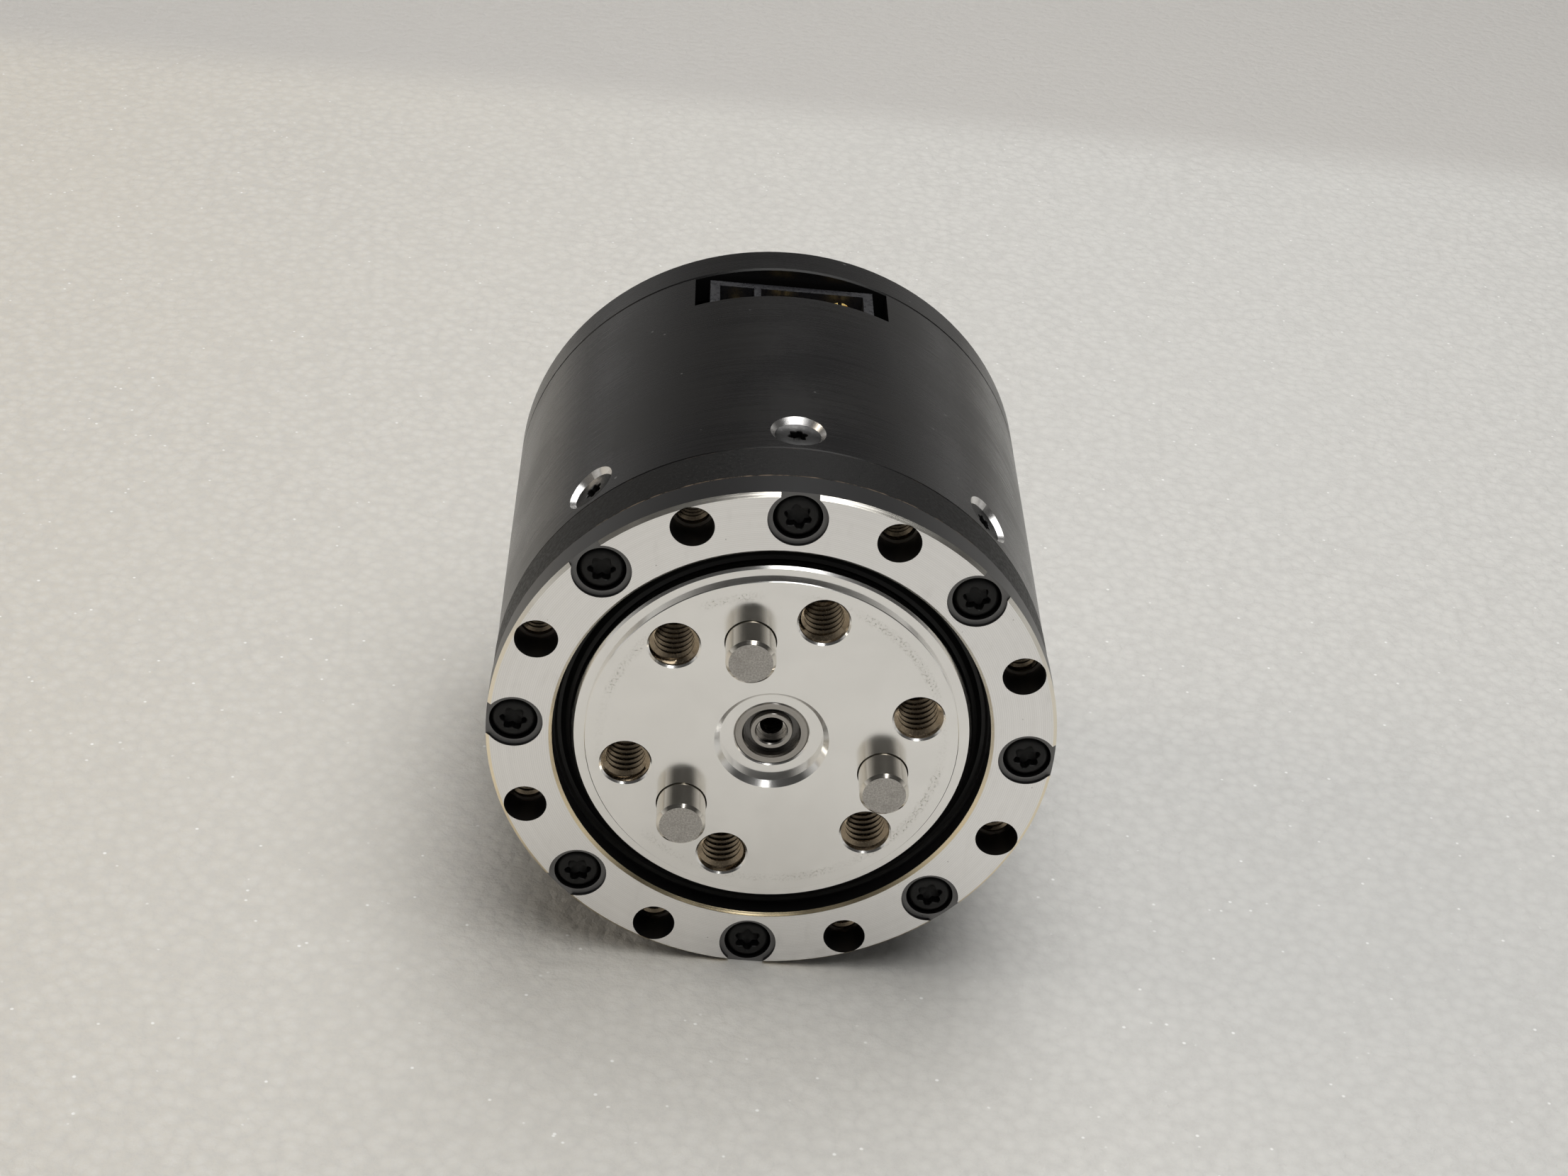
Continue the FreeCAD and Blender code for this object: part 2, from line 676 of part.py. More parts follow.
def make_motor_housing():
    """Tube over the gear spigot, motor and board, with the connector's aperture at its rear."""
    body = turned("motor_housing", [
        (housing_bore, housing_front), (housing_radius - s.edge_break, housing_front),
        (housing_radius, housing_front + s.edge_break),
        (housing_radius, housing_rear - s.edge_break),
        (housing_radius - s.edge_break, housing_rear), (rear_bore, housing_rear),
        (rear_bore, rear_plate_end), (housing_bore, rear_plate_end)])
    turn = half_turn / s.cover_screw_count
    circle = cover_screw_circle
    bar(body, circle, [(housing_rear - s.cover_boss_tall, s.cover_boss_dia / 2),
                       (housing_rear, s.cover_boss_dia / 2)],
        kind="Revolution", count=s.cover_screw_count, turn=turn)
    tapped = (s.small_screw_dia + s.thread_gap) / 2
    bar(body, circle, [(housing_rear - s.cover_boss_tall, tapped), (housing_rear, tapped)],
        count=s.cover_screw_count, turn=turn)
    clear = (s.radial_screw_dia + s.screw_clear) / 2
    sink = s.radial_sink_dia / 2
    radial_bar(body, radial_screw_y, [
        (housing_bore - overrun, clear), (sink_apex + clear, clear), (housing_radius, sink),
        (housing_radius + overrun, sink + overrun)], count=s.mount_count)
    sketch = new_sketch(body, "XY_Plane", offset=housing_radius + overrun)
    draw_loop(sketch, rectangle(-s.aperture_wide / 2, s.aperture_wide / 2,
                                board_rear - s.aperture_gap, housing_rear + overrun))
    window = body.newObject("PartDesign::Pocket", "motor_housing_aperture")
    window.Profile = sketch
    window.setExpression("Length", (housing_radius - shell_bottom).formula)


def make_rear_cover():
    """Shallow cup that closes the housing, with bosses over the housing's own."""
    floor_front = cover_rear - s.cover_floor
    body = turned("rear_cover", [
        (rear_bore, housing_rear), (housing_radius - s.edge_break, housing_rear),
        (housing_radius, housing_rear + s.edge_break),
        (housing_radius, cover_rear - s.cover_chamfer),
        (housing_radius - s.cover_chamfer, cover_rear), (0, cover_rear), (0, floor_front),
        (rear_bore, floor_front)])
    turn = half_turn / s.cover_screw_count
    circle = cover_screw_circle
    bar(body, circle, [(housing_rear, s.cover_boss_dia / 2),
                       (floor_front + s.boss_root, s.cover_boss_dia / 2)],
        kind="Revolution", count=s.cover_screw_count, turn=turn)
    clear = (s.small_screw_dia + s.screw_clear) / 2
    head = s.small_screw_head / 2 + s.head_clear
    bar(body, circle, [(housing_rear, clear), (cover_rear - head + clear, clear),
                       (cover_rear, head)],
        count=s.cover_screw_count, turn=turn)


def make_cover_screws():
    body = new_body("rear_cover_screws")
    shank = s.small_screw_dia / 2
    head = s.small_screw_head / 2
    tip = cover_rear - s.cover_screw_long
    top = cover_rear - s.head_sunk
    bar(body, cover_screw_circle, [(tip, shank), (top - head + shank, shank), (top, head)],
        kind="Revolution", count=s.cover_screw_count, turn=half_turn / s.cover_screw_count)


# ---------------------------------------------------------------- output flange and carrier
def make_output_flange():
    """Output flange and planet carrier in one: face, ledge, journal and three posts."""
    turn = s.output_angle - half_turn / (2 * s.planet_count)
    face = face_radius
    centre = s.centre_dia / 2
    seat = s.small_bearing_dia / 2
    bore = s.sun_shaft_dia / 2 + s.shaft_clear
    groove = journal - s.clip_seat
    body = turned("output_flange", [
        (centre + s.centre_chamfer, 0), (face - s.face_edge, 0), (face, s.face_edge),
        (face, s.ledge_depth),
        (flange_radius - s.ledge_chamfer, s.ledge_depth),
        (flange_radius, s.ledge_depth + s.ledge_chamfer), (flange_radius, case_front),
        (journal, case_front), (journal, bearing_rear), (groove, bearing_rear),
        (groove, bearing_rear + s.clip_thick), (journal, bearing_rear + s.clip_thick),
        (journal, carrier_rear), (bore, carrier_rear), (bore, small_bearing_rear),
        (seat, small_bearing_rear), (seat, s.centre_deep + s.small_chamfer),
        (seat + s.small_chamfer, s.centre_deep), (centre, s.centre_deep),
        (centre, s.centre_chamfer)], turn)
    thread = s.output_thread_dia / 2
    bar(body, thread_circle, [
        (dim(0), thread + s.output_thread_chamfer), (s.output_thread_chamfer, thread),
        (s.output_thread_deep, thread)], count=s.planet_count * 2)
    hole = pin_shank + s.fit_gap
    mouth = pin_radius + s.pin_mouth_gap
    bar(body, carrier_radius, [(dim(0), mouth), (mouth - hole, hole), (carrier_rear, hole)],
        count=s.planet_count, turn=half_turn / (2 * s.planet_count))
    post_turn = half_turn / s.planet_count * 1.5
    bar(body, carrier_radius, [
        (carrier_rear - s.clip_land / 2, post_radius), (carrier_plate_front, post_radius)],
        kind="Revolution", count=s.planet_count, turn=post_turn)
    tapped = (s.carrier_screw_dia + s.thread_gap) / 2
    bar(body, carrier_radius, [
        (carrier_plate_rear - s.carrier_screw_long - s.drill_past, tapped),
        (carrier_plate_front, tapped)], count=s.planet_count, turn=post_turn)


def make_planet_pins():
    """Planet pins, pressed into the flange, whose thick front ends serve as output dowels."""
    body = new_body("planet_pins", s.output_angle)
    front = -s.pin_proud
    bar(body, carrier_radius, [
        (front, pin_radius - s.pin_chamfer), (front + s.pin_chamfer, pin_radius),
        (dim(0), pin_radius), (pin_radius - pin_shank, pin_shank),
        (carrier_plate_rear, pin_shank)], kind="Revolution", count=s.planet_count)


def make_carrier_plate():
    turn = s.output_angle + half_turn / s.planet_count
    inner = sun_tip + s.carrier_plate_gap
    outer = ring_tip - s.carrier_plate_gap
    body = turned("carrier_plate", [
        (inner, carrier_plate_front), (outer, carrier_plate_front),
        (outer, carrier_plate_rear), (inner, carrier_plate_rear)], turn)
    clear = (s.carrier_screw_dia + s.screw_clear) / 2
    head = s.small_screw_head / 2 + s.head_clear
    bar(body, carrier_radius, [
        (carrier_plate_front, clear), (carrier_plate_rear - head + clear, clear),
        (carrier_plate_rear, head)], count=s.planet_count)
    hole = pin_shank + s.fit_gap
    bar(body, carrier_radius, [(carrier_plate_front, hole), (carrier_plate_rear, hole)],
        count=s.planet_count, turn=half_turn / s.planet_count)


def make_carrier_screws():
    body = new_body("carrier_screws", s.output_angle + half_turn / s.planet_count)
    shank = s.carrier_screw_dia / 2
    head = s.small_screw_head / 2
    top = carrier_plate_rear - s.head_sunk
    bar(body, carrier_radius, [
        (carrier_plate_rear - s.carrier_screw_long, shank), (top - head + shank, shank),
        (top, head)], kind="Revolution", count=s.planet_count)


def shielded_ring(name, outer, thick, reach, front, width):
    """Outer ring of a bearing, with its two shields reaching in towards the inner ring."""
    inner = outer - thick
    rear = front + width
    near = width * s.shield_inset
    far = near + width * s.shield_thick
    turned(name, [
        (outer, front), (outer, rear), (inner, rear), (inner, rear - near), (reach, rear - near),
        (reach, rear - far), (inner, rear - far), (inner, front + far), (reach, front + far),
        (reach, front + near), (inner, front + near), (inner, front)])


def ring(name, inner, outer, front, rear, turn=None):
    turned(name, [(inner, front), (outer, front), (outer, rear), (inner, rear)], turn)


def make_output_bearing():
    inner_ring_radius = journal + s.bearing_ring
    shielded_ring("output_bearing_outer", bearing_outer - s.fit_gap, s.bearing_ring,
                  inner_ring_radius + s.shield_gap, case_front, s.bearing_width)
    ring("output_bearing_inner", journal + s.fit_gap, inner_ring_radius, case_front, bearing_rear)


def make_retaining_ring():
    """Open ring in the journal's groove, behind the output bearing's inner ring."""
    body = new_body("retaining_ring", s.output_angle)
    inner = journal - s.clip_seat + s.fit_gap
    sketch = new_sketch(body, "XY_Plane")
    draw_loop(sketch, rectangle(inner, inner + s.clip_tall, bearing_rear,
                                bearing_rear + s.clip_thick - s.fit_gap))
    arc = spin(body, sketch, "V_Axis", "Revolution")
    arc.setExpression("Angle", (full_turn - s.clip_mouth_angle).formula)


def make_output_seal():
    """Rubber lip seal between the front plate and the flange."""
    front = s.seal_recess
    rear = case_front - s.seal_gap
    outer = seal_bore - s.fit_gap
    lip = flange_radius + s.run_gap
    bevel = s.seal_edge
    valley = front + bevel + s.seal_groove
    turned("output_seal", [
        (outer, front + 2 * bevel), (outer, rear), (outer - s.seal_body, rear),
        (outer - s.seal_body, rear - s.seal_web), (lip + bevel, rear - s.seal_web - bevel),
        (lip, front + 2 * bevel), (lip, front + bevel), (lip + bevel, front),
        (lip + 3 * bevel, front + bevel), (outer - s.seal_groove - 2 * bevel, valley),
        (outer - s.seal_groove, valley), (outer - bevel, front + 2 * bevel)])


def make_centre_bearing():
    """Small bearing in the flange, round the nose of the rotor shaft."""
    outer = s.small_bearing_dia / 2 - s.fit_gap
    front = small_bearing_front
    inside = outer - s.small_outer_ring
    bore = s.small_bearing_bore / 2
    land = bore + s.small_inner_ring
    inner_front = front + s.small_inner_recess
    bevel = s.small_chamfer
    turned("centre_bearing_outer", [
        (inside + bevel, front), (outer - bevel, front), (outer, front + bevel),
        (outer, small_bearing_rear), (inside, small_bearing_rear), (inside, front + 2 * bevel)])
    turned("centre_bearing_inner", [
        (bore + bevel, inner_front), (land - bevel / 2, inner_front),
        (land, inner_front + bevel / 2), (land, small_bearing_rear),
        (bore, small_bearing_rear), (bore, inner_front + bevel)])
    shield_front = inner_front + s.small_shield_deep
    ring("centre_bearing_shield", land + s.run_gap, inside, shield_front,
         shield_front + s.small_shield_thick)


# ---------------------------------------------------------------- planet gears and sun gear
def gear_solid(teeth, front, rear, bore, turn):
    pitch_radius = (module * teeth / 2).value
    root = (module * (teeth / 2 - s.gear_dedendum)).value
    tip = (module * (teeth / 2 + s.gear_addendum)).value
    thickness = math.pi * module.value / 2 - s.backlash.value
    outline = gear_outline(teeth, pitch_radius, root, tip, thickness, turn)
    solid = extruded(outline, front, rear)
    hole = Part.makeCylinder(bore, rear - front, Vector(0, front, 0), Vector(0, 1, 0))
    return solid.cut(hole)


def make_planets():
    """Each planet is turned so that a tooth meets a space of the ring gear at rest."""
    bush_outer = pin_shank + s.run_gap + s.bush_wall
    for number in range(planets):
        place = s.output_angle.value + full_turn * number / planets
        centre = Vector(carrier_radius.value * math.sin(math.radians(place)), 0,
                        carrier_radius.value * math.cos(math.radians(place)))
        rolled = place * (1 - ring_teeth / planet_teeth)
        gear = doc.addObject("Part::Feature", f"planet_gear_{number + 1}")
        gear.Shape = gear_solid(planet_teeth, planet_front.value, planet_rear.value,
                                bush_outer.value + s.fit_gap.value, rolled)
        gear.Placement = Placement(centre, Rotation())
        set_label(gear, f"planet_gear_{number + 1}")
        angle = s.output_angle + full_turn * number / planets
        bush = doc.addObject("Part::Cut", f"planet_bush_{number + 1}")
        bush.Base = round_bar(f"bush_outer_{number + 1}", bush_outer, planet_front, planet_rear)
        bush.Tool = round_bar(f"bush_bore_{number + 1}", pin_shank + s.run_gap,
                              planet_front, planet_rear)
        bush.setExpression("Placement.Base.x", (carrier_radius * sine(angle)).formula)
        bush.setExpression("Placement.Base.z", (carrier_radius * cosine(angle)).formula)
        set_label(bush, f"planet_bush_{number + 1}")


def round_bar(name, radius, front, rear):
    """A Part cylinder along the Y axis."""
    cylinder = doc.addObject("Part::Cylinder", name)
    cylinder.Placement = Placement(Vector(0, 0, 0), Rotation(Vector(1, 0, 0), -90))
    cylinder.setExpression("Placement.Base.y", front.formula)
    cylinder.setExpression("Radius", radius.formula)
    cylinder.setExpression("Height", (rear - front).formula)
    return cylinder


def make_sun_gear():
    """The sun has a tooth at the top for odd planet teeth and a space for even ones."""
    rolled = s.output_angle.value * (1 + ring_teeth / sun_teeth)
    if planet_teeth % 2 == 0:
        rolled += half_turn / sun_teeth
    gear = doc.addObject("Part::Feature", "sun_gear")
    gear.Shape = gear_solid(sun_teeth, planet_front.value, sun_rear.value,
                            s.sun_shaft_dia.value / 2 + s.fit_gap.value, rolled)
    set_label(gear, "sun_gear")


# ---------------------------------------------------------------- motor
def make_bearing_plates():
    """Plates clamped in the housing on each side of the stator, with the rotor bearings."""
    seat = s.rotor_bearing_dia / 2
    hub = seat + s.hub_wall
    rim = inner_radius - s.rim_wall
    bore = s.shaft_shoulder_dia / 2
    web_rear = web_front + s.web_thick
    turned("bearing_plate_front", [
        (inner_radius, gear_rear), (inner_radius, stator_front), (rim, stator_front),
        (rim, web_rear), (hub, web_rear), (hub, stator_front), (seat, stator_front),
        (seat, front_seat), (bore, front_seat), (bore, web_front), (rim, web_front),
        (rim, gear_rear)])
    rear_web = rear_plate_end - s.web_thick
    rear = turned("bearing_plate_rear", [
        (inner_radius, stator_rear), (inner_radius, rear_plate_end), (bore, rear_plate_end),
        (bore, rear_seat_end), (seat, rear_seat_end), (seat, stator_rear), (hub, stator_rear),
        (hub, rear_web), (rim, rear_web), (rim, stator_rear)])
    turn = half_turn / s.planet_count
    circle = standoff_circle
    post = s.standoff_dia / 2
    bar(rear, circle, [(rear_plate_end - s.standoff_root, post), (board_front, post)],
        kind="Revolution", count=s.planet_count, turn=turn)
    tapped = (s.small_screw_dia + s.thread_gap) / 2
    bar(rear, circle, [(board_front - s.standoff_tall - s.drill_past, tapped),
                       (board_front, tapped)], count=s.planet_count, turn=turn)
    passage = s.lead_dia / 2 + s.lead_clear
    bar(rear, lead_circle, [(rear_web, passage), (rear_plate_end, passage)],
        count=s.planet_count, turn=lead_turn)


def make_rotor_bearings():
    bore = s.rotor_bearing_bore / 2
    outer = s.rotor_bearing_dia / 2 - s.fit_gap
    inner_ring = bore + s.rotor_ring
    for name, front in (("front", front_seat), ("rear", stator_rear)):
        shielded_ring(f"rotor_bearing_{name}_outer", outer, s.rotor_ring,
                      inner_ring + s.shield_gap, front, s.rotor_bearing_width)
        ring(f"rotor_bearing_{name}_inner", bore + s.fit_gap, inner_ring, front,
             front + s.rotor_bearing_width)


def make_stator():
    """Laminated core with parallel teeth, and a coil on each tooth."""
    body = turned("stator_core", [
        (stator_bore, stator_front), (inner_radius, stator_front),
        (inner_radius, stator_rear), (stator_bore, stator_rear)])
    half_pitch = half_turn / s.slot_count
    bottom = inner_radius - s.yoke_thick

    def tooth_side(along):
        """A point on the flank of the tooth beside a slot, by its distance along the tooth."""
        return (along * sine(half_pitch) - s.tooth_width / 2 * cosine(half_pitch),
                along * cosine(half_pitch) + s.tooth_width / 2 * sine(half_pitch))

    shoe = tooth_side(stator_bore + s.shoe_thick)
    root = tooth_side(bottom)
    mouth = s.slot_mouth / 2
    low = stator_bore
    side = [(mouth, low - overrun), (mouth, low + s.shoe_edge), shoe, root]
    slot = pocket(body, side + [(-x, z) for x, z in reversed(side)], stator_front,
                  stator_rear - stator_front)
    repeat(body, [slot], s.slot_count)

    coils = new_body("stator_windings", half_pitch)
    half = coil_inner * sine(half_pitch) / cosine(half_pitch) - s.coil_split
    inside = s.tooth_width / 2 + s.slip
    front = stator_front - s.coil_end
    rear = stator_rear + s.coil_end
    outer = pad(coils, rectangle(-half, half, coil_inner, coil_outer),
                rear, rear - front)
    sketch = new_sketch(coils, "XY_Plane", offset=coil_outer + overrun)
    draw_loop(sketch, rectangle(-inside, inside, stator_front - s.slip, stator_rear + s.slip))
    inner = coils.newObject("PartDesign::Pocket", "stator_windings_eye")
    inner.Profile = sketch
    inner.setExpression("Length", (s.coil_deep + 2 * overrun).formula)
    repeat(coils, [outer, inner], s.slot_count)

    leads = new_body("phase_leads")
    bar(leads, lead_circle, [(rear, s.lead_dia / 2), (board_front, s.lead_dia / 2)],
        kind="Revolution", count=s.planet_count, turn=lead_turn)


def make_rotor():
    bore = s.shaft_bore / 2
    nose = s.small_bearing_bore / 2 - s.fit_gap
    stub = s.sun_shaft_dia / 2
    seat = s.rotor_bearing_bore / 2
    shoulder = s.shaft_shoulder_dia / 2
    pocket_radius = s.encoder_magnet_dia / 2 + s.fit_gap + s.holder_wall + s.fit_gap
    pocket_front = magnet_end - s.encoder_magnet_tall - s.holder_floor
    neck = nose + s.nose_step
    neck_end = small_bearing_rear + s.neck_long
    turned("rotor_shaft", [
        (bore, shaft_front), (nose, shaft_front), (nose, small_bearing_rear),
        (neck, small_bearing_rear), (neck, neck_end), (stub, neck_end),
        (stub, sun_rear), (seat, sun_rear), (seat, stator_front), (shoulder, stator_front),
        (shoulder, stator_rear), (seat, stator_rear), (seat, shaft_end),
        (pocket_radius, shaft_end), (pocket_radius, pocket_front), (bore, pocket_front)])
    front = stator_front + s.rotor_end_gap
    rear = stator_rear - s.rotor_end_gap
    core = turned("rotor_core", [
        (shoulder + s.fit_gap, front), (core_radius, front), (core_radius, rear),
        (shoulder + s.fit_gap, rear)])
    web = (core_radius - shoulder) / 2
    hole = web * s.rotor_hole_share
    bar(core, shoulder + web, [(front, hole), (rear, hole)], count=s.rotor_holes)

    magnets = new_body("rotor_magnets")
    sketch = new_sketch(magnets, "XY_Plane")
    draw_loop(sketch, rectangle(core_radius, magnet_radius, front, rear))
    arc = spin(magnets, sketch, "V_Axis", "Revolution")
    arc.setExpression("Angle", s.magnet_angle.formula)
    repeat(magnets, [arc], s.magnet_count)

    magnet = s.encoder_magnet_dia / 2
    magnet_front = magnet_end - s.encoder_magnet_tall
    wall = magnet + s.fit_gap
    turned("magnet_holder", [
        (0, pocket_front), (wall + s.holder_wall, pocket_front),
        (wall + s.holder_wall, shaft_end), (wall, shaft_end), (wall, magnet_front),
        (0, magnet_front)])
    set_label(round_bar("encoder_magnet", magnet, magnet_front, magnet_end), "encoder_magnet")


# ---------------------------------------------------------------- electronics
def make_board():
    """Round driver board on three standoffs, notched for the housing's bosses."""
    body = turned("driver_board", [
        (0, board_front), (board_radius, board_front), (board_radius, board_rear),
        (0, board_rear)])
    notch = s.cover_boss_dia / 2 + s.board_edge_gap
    bar(body, cover_screw_circle, [(board_front, notch), (board_rear, notch)],
        count=s.cover_screw_count, turn=half_turn / s.cover_screw_count)
    clear = (s.small_screw_dia + s.screw_clear) / 2
    turn = half_turn / s.planet_count
    bar(body, standoff_circle, [(board_front, clear), (board_rear, clear)],
        count=s.planet_count, turn=turn)

    screws = new_body("board_screws")
    head = s.small_screw_head / 2
    shank = s.small_screw_dia / 2
    top = board_rear + s.small_head_tall
    bar(screws, standoff_circle, [
        (board_front - s.standoff_tall, shank), (board_rear, shank), (board_rear, head),
        (top - s.small_head_bevel, head), (top, head - s.small_head_bevel)],
        kind="Revolution", count=s.planet_count, turn=turn)

    side = s.encoder_chip_side / 2
    block("encoder_chip", -side, side, chip_front, board_front, -side, side)
    side = s.controller_side / 2
    block("controller_chip", -side, side, board_rear, board_rear + s.chip_tall, -side, side)
    half = s.transistor_side / 2
    middle = board_radius - s.transistor_edge
    switches = new_body("power_transistors", half_turn / s.transistor_count)
    switch = pad(switches, rectangle(-half, half, middle - half, middle + half),
                 board_rear + s.chip_tall, s.chip_tall)
    repeat(switches, [switch], s.transistor_count)
    cans = new_body("bus_capacitors")
    can = s.capacitor_dia / 2
    for angle in (s.capacitor_angle, full_turn - s.capacitor_angle):
        bar(cans, board_radius - s.capacitor_edge,
            [(board_rear, can), (board_rear + s.capacitor_tall, can)],
            kind="Revolution", turn=angle)


def make_connector():
    """Board connector that mates upwards: two power pins and two signal pins in a shell."""
    half = s.shell_wide / 2
    front = board_rear
    rear = front + s.shell_deep
    flange = block("connector_flange", -s.flange_wide / 2, s.flange_wide / 2, front,
                   front + s.flange_thick, shell_bottom, shell_top - s.flange_low)
    barrel = block("connector_barrel", -half, half, front, rear, shell_bottom, shell_top)
    floor = shell_top - s.socket_deep
    inner_front = front + s.shell_wall
    inner_rear = rear - s.shell_wall
    split = -half + s.shell_wall + s.signal_socket
    signal = block("signal_socket", -half + s.shell_wall, split, inner_front, inner_rear,
                   floor, shell_top + overrun)
    power = block("power_socket", split + s.shell_divider, half - s.shell_wall, inner_front,
                  inner_rear, floor, shell_top + overrun)
    root = floor - s.pin_root
    middle = (inner_front + inner_rear) / 2
    holes = [socket_hole(f"pin_hole_{i}", s.power_pin_x + s.power_pin_pitch * i, middle, root)
             for i in range(2)]
    signal_x = -half + s.shell_wall + s.signal_socket / 2
    pins = []
    for i in (-1, 1):
        place = middle + s.signal_pin_pitch / 2 * i
        side = s.signal_pin_side / 2
        holes.append(block(f"signal_hole_{i + 2}", signal_x - side - s.fit_gap,
                           signal_x + side + s.fit_gap, place - side - s.fit_gap,
                           place + side + s.fit_gap, root, shell_top))
        pins.append(block(f"signal_pin_{i + 2}", signal_x - side, signal_x + side,
                          place - side, place + side, root, shell_top - s.signal_pin_low))
    body = doc.addObject("Part::MultiFuse", "connector_solid")
    body.Shapes = [flange, barrel]
    cutters = doc.addObject("Part::MultiFuse", "connector_hollows")
    cutters.Shapes = [signal, power] + holes
    shell = doc.addObject("Part::Cut", "connector_shell")
    shell.Base = body
    shell.Tool = cutters
    set_label(shell, "connector_shell")
    group = doc.addObject("Part::Compound", "signal_pins")
    group.Links = pins
    set_label(group, "signal_pins")
    make_power_pins(middle, root)


def socket_hole(name, x, y, root):
    cylinder = doc.addObject("Part::Cylinder", name)
    cylinder.setExpression("Placement.Base.x", x.formula)
    cylinder.setExpression("Placement.Base.y", y.formula)
    cylinder.setExpression("Placement.Base.z", root.formula)
    cylinder.setExpression("Radius", (s.power_pin_dia / 2 + s.fit_gap).formula)
    cylinder.setExpression("Height", (shell_top - root).formula)
    return cylinder


def make_power_pins(middle, root):
    """Two round contacts, each split by a cross of slots at its tip."""
    body = new_body("power_pins")
    tip = shell_top - s.power_pin_low
    radius = s.power_pin_dia / 2
    x = s.power_pin_x
    sketch = new_sketch(body, "XZ_Plane", offset=-middle)
    bevel = s.power_pin_chamfer
    draw_loop(sketch, [(x, root), (x + radius, root), (x + radius, tip - bevel),
                       (x + radius - bevel, tip), (x, tip)])
    draw_axis(sketch, (x, root), (x, tip))
    pin = spin(body, sketch, "Axis0", "Revolution")
    slot = s.pin_slot / 2
    arm = radius + overrun
    cross = []
    for across, along in ((slot, arm), (arm, slot)):
        plan = new_sketch(body, "XY_Plane", offset=tip)
        draw_loop(plan, rectangle(x - across, x + across, middle - along, middle + along))
        cut = body.newObject("PartDesign::Pocket", "power_pins_slot")
        cut.Profile = plan
        cut.setExpression("Length", s.pin_slot_deep.formula)
        cross.append(cut)
    pattern = body.newObject("PartDesign::LinearPattern", "power_pins_pair")
    pattern.Originals = [pin] + cross
    pattern.Direction = (origin_feature(body, "X_Axis"), [""])
    pattern.Occurrences = 2
    pattern.setExpression("Length", s.power_pin_pitch.formula)
    body.Tip = pattern


# ---------------------------------------------------------------- build and write
MAKERS = [
    make_front_plate, make_front_screws, make_ring_gear, make_ring_gear_screws,
    make_motor_housing, make_rear_cover, make_cover_screws, make_output_flange,
    make_planet_pins, make_carrier_plate, make_carrier_screws, make_output_bearing,
    make_retaining_ring, make_output_seal, make_centre_bearing, make_planets, make_sun_gear,
    make_bearing_plates, make_rotor_bearings, make_stator, make_rotor, make_board,
    make_connector,
]

NODES = [
    "front_plate", "front_screws", "ring_gear", "ring_gear_screws", "motor_housing",
    "rear_cover", "rear_cover_screws", "output_flange", "planet_pins", "carrier_plate",
    "carrier_screws", "output_bearing_outer", "output_bearing_inner", "retaining_ring",
    "output_seal", "centre_bearing_outer", "centre_bearing_inner", "centre_bearing_shield",
    "sun_gear", "bearing_plate_front", "bearing_plate_rear", "rotor_bearing_front_outer",
    "rotor_bearing_front_inner", "rotor_bearing_rear_outer", "rotor_bearing_rear_inner",
    "stator_core", "stator_windings", "phase_leads", "rotor_shaft", "rotor_core",
    "rotor_magnets", "magnet_holder", "encoder_magnet", "driver_board", "board_screws",
    "encoder_chip", "controller_chip", "power_transistors", "bus_capacitors",
    "connector_shell", "power_pins", "signal_pins",
] + [f"planet_{kind}_{i + 1}" for kind in ("gear", "bush") for i in range(planets)]

for make in MAKERS:
    make()
    doc.recompute()

broken = [obj.Label for obj in doc.Objects
          if "Invalid" in obj.State or "Error" in obj.State]
if broken:
    raise SystemExit("objects that did not compute: " + ", ".join(broken))

os.makedirs("parts", exist_ok=True)
for node in NODES:
    shape = doc.getObjectsByLabel(node)[0].Shape
    if shape.isNull() or not shape.isValid() or not shape.Solids:
        raise SystemExit(f"{node} has no valid solid")
for node in NODES:
    shape = doc.getObjectsByLabel(node)[0].Shape
    solids = shape.Solids
    result = solids[0] if len(solids) == 1 else Part.makeCompound(solids)
    result.exportStep(f"parts/{node}.step")
    print(f"{node:28s} {len(solids):3d} solids {shape.Volume:10.1f} mm3")
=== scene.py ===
"""Looks of the robot joint actuator: finishes, screws, threads, floor, light and camera.

Lengths in this file are millimetres and angles degrees; Blender works in metres and radians.
The axis of the actuator is Y, its output faces -Y and +Z is up. Angles are measured about
+Y, from +Z towards +X.
"""
import json
import math
import random

import bmesh
import bpy
from mathutils import Matrix, Vector


